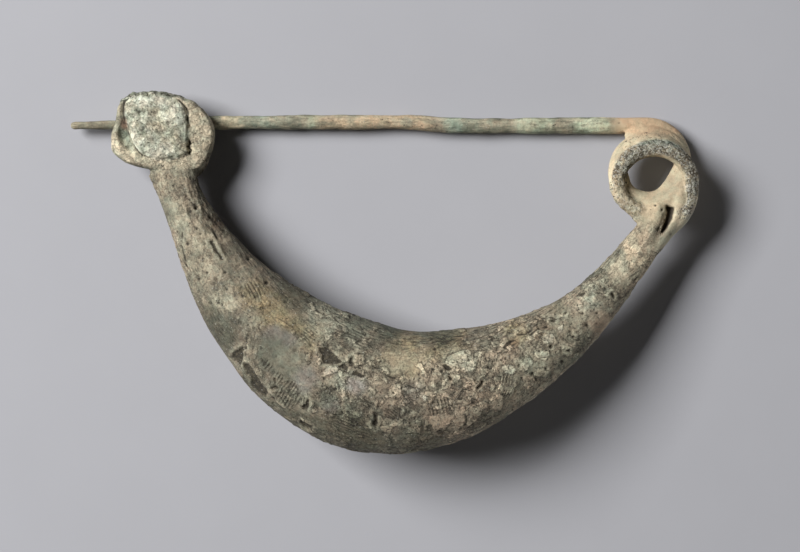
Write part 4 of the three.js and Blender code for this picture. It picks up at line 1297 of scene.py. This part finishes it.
# studio
studio = {
    "floorColour": (0.42, 0.42, 0.445),
    "floorReach": 3,
    "floorBlotches": {"Scale": 90, "Detail": 6, "Roughness": 0.55},
    "floorContrast": 0.025,
    "keyDirection": (-0.95, 0.5, 0.85),
    "keyDistance": 0.9,
    "keySize": (0.5, 0.36),
    "keyPower": 14,
    # a low white card on the other side
    "cardDirection": (0.85, -0.6, 0.078),
    "cardDistance": 0.5,
    "cardSize": (0.4, 0.07),
    "cardPower": 0.8,
    "fill": 0.025,
}
floorMesh = bmesh.new()
bmesh.ops.create_grid(floorMesh, x_segments=1, y_segments=1, size=studio["floorReach"])
floorData = bpy.data.meshes.new("table")
floorMesh.to_mesh(floorData)
floorMesh.free()
floor = bpy.data.objects.new("table", floorData)
bpy.context.scene.collection.objects.link(floor)
paper = bpy.data.materials.new("palePaper")
paper.use_nodes = True
sheet = paper.node_tree.nodes["Principled BSDF"]
sheet.inputs["Roughness"].default_value = 0.95
spot = addNode(paper.node_tree, "TexCoord").outputs["Object"]
blotch = addNode(paper.node_tree, "TexNoise", None, {"Vector": spot, **studio["floorBlotches"]})
pale = [c * (1 + studio["floorContrast"]) for c in studio["floorColour"]] + [1]
dull = [c * (1 - studio["floorContrast"]) for c in studio["floorColour"]] + [1]
blend = addNode(paper.node_tree, "Mix", {"data_type": "RGBA"}, {0: blotch.outputs[0], 6: dull, 7: pale})
paper.node_tree.links.new(blend.outputs[2], sheet.inputs["Base Color"])
floor.data.materials.append(paper)


def addSoftLight(name):
    light = bpy.data.objects.new(name, bpy.data.lights.new(name, "AREA"))
    light.data.shape = "RECTANGLE"
    light.data.size, light.data.size_y = studio[name + "Size"]
    light.data.energy = studio[name + "Power"]
    away = Vector(studio[name + "Direction"]).normalized()
    light.location = away * studio[name + "Distance"]
    light.rotation_euler = away.to_track_quat("Z", "Y").to_euler()
    bpy.context.scene.collection.objects.link(light)


addSoftLight("key")
addSoftLight("card")

world = bpy.data.worlds.new("studio")
world.use_nodes = True
world.node_tree.nodes["Background"].inputs["Color"].default_value = (1, 1, 1, 1)
world.node_tree.nodes["Background"].inputs["Strength"].default_value = studio["fill"]
bpy.context.scene.world = world
bpy.context.scene.view_settings.view_transform = "Standard"

view = {
    "eye": (1.92, -0.14, 316),  # in the flat frame's millimetres
    "lens": 100,
    "sensor": 36,
    "nearest": 0.01,
}
camera = bpy.data.objects.new("camera", bpy.data.cameras.new("camera"))
camera.data.lens = view["lens"]
camera.data.sensor_width = view["sensor"]
camera.data.clip_start = view["nearest"]
eye = placed @ Vector(view["eye"])
camera.matrix_world = Matrix.Translation(eye) @ turn
bpy.context.scene.collection.objects.link(camera)
bpy.context.scene.camera = camera

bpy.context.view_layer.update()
stageDone("scene ready")
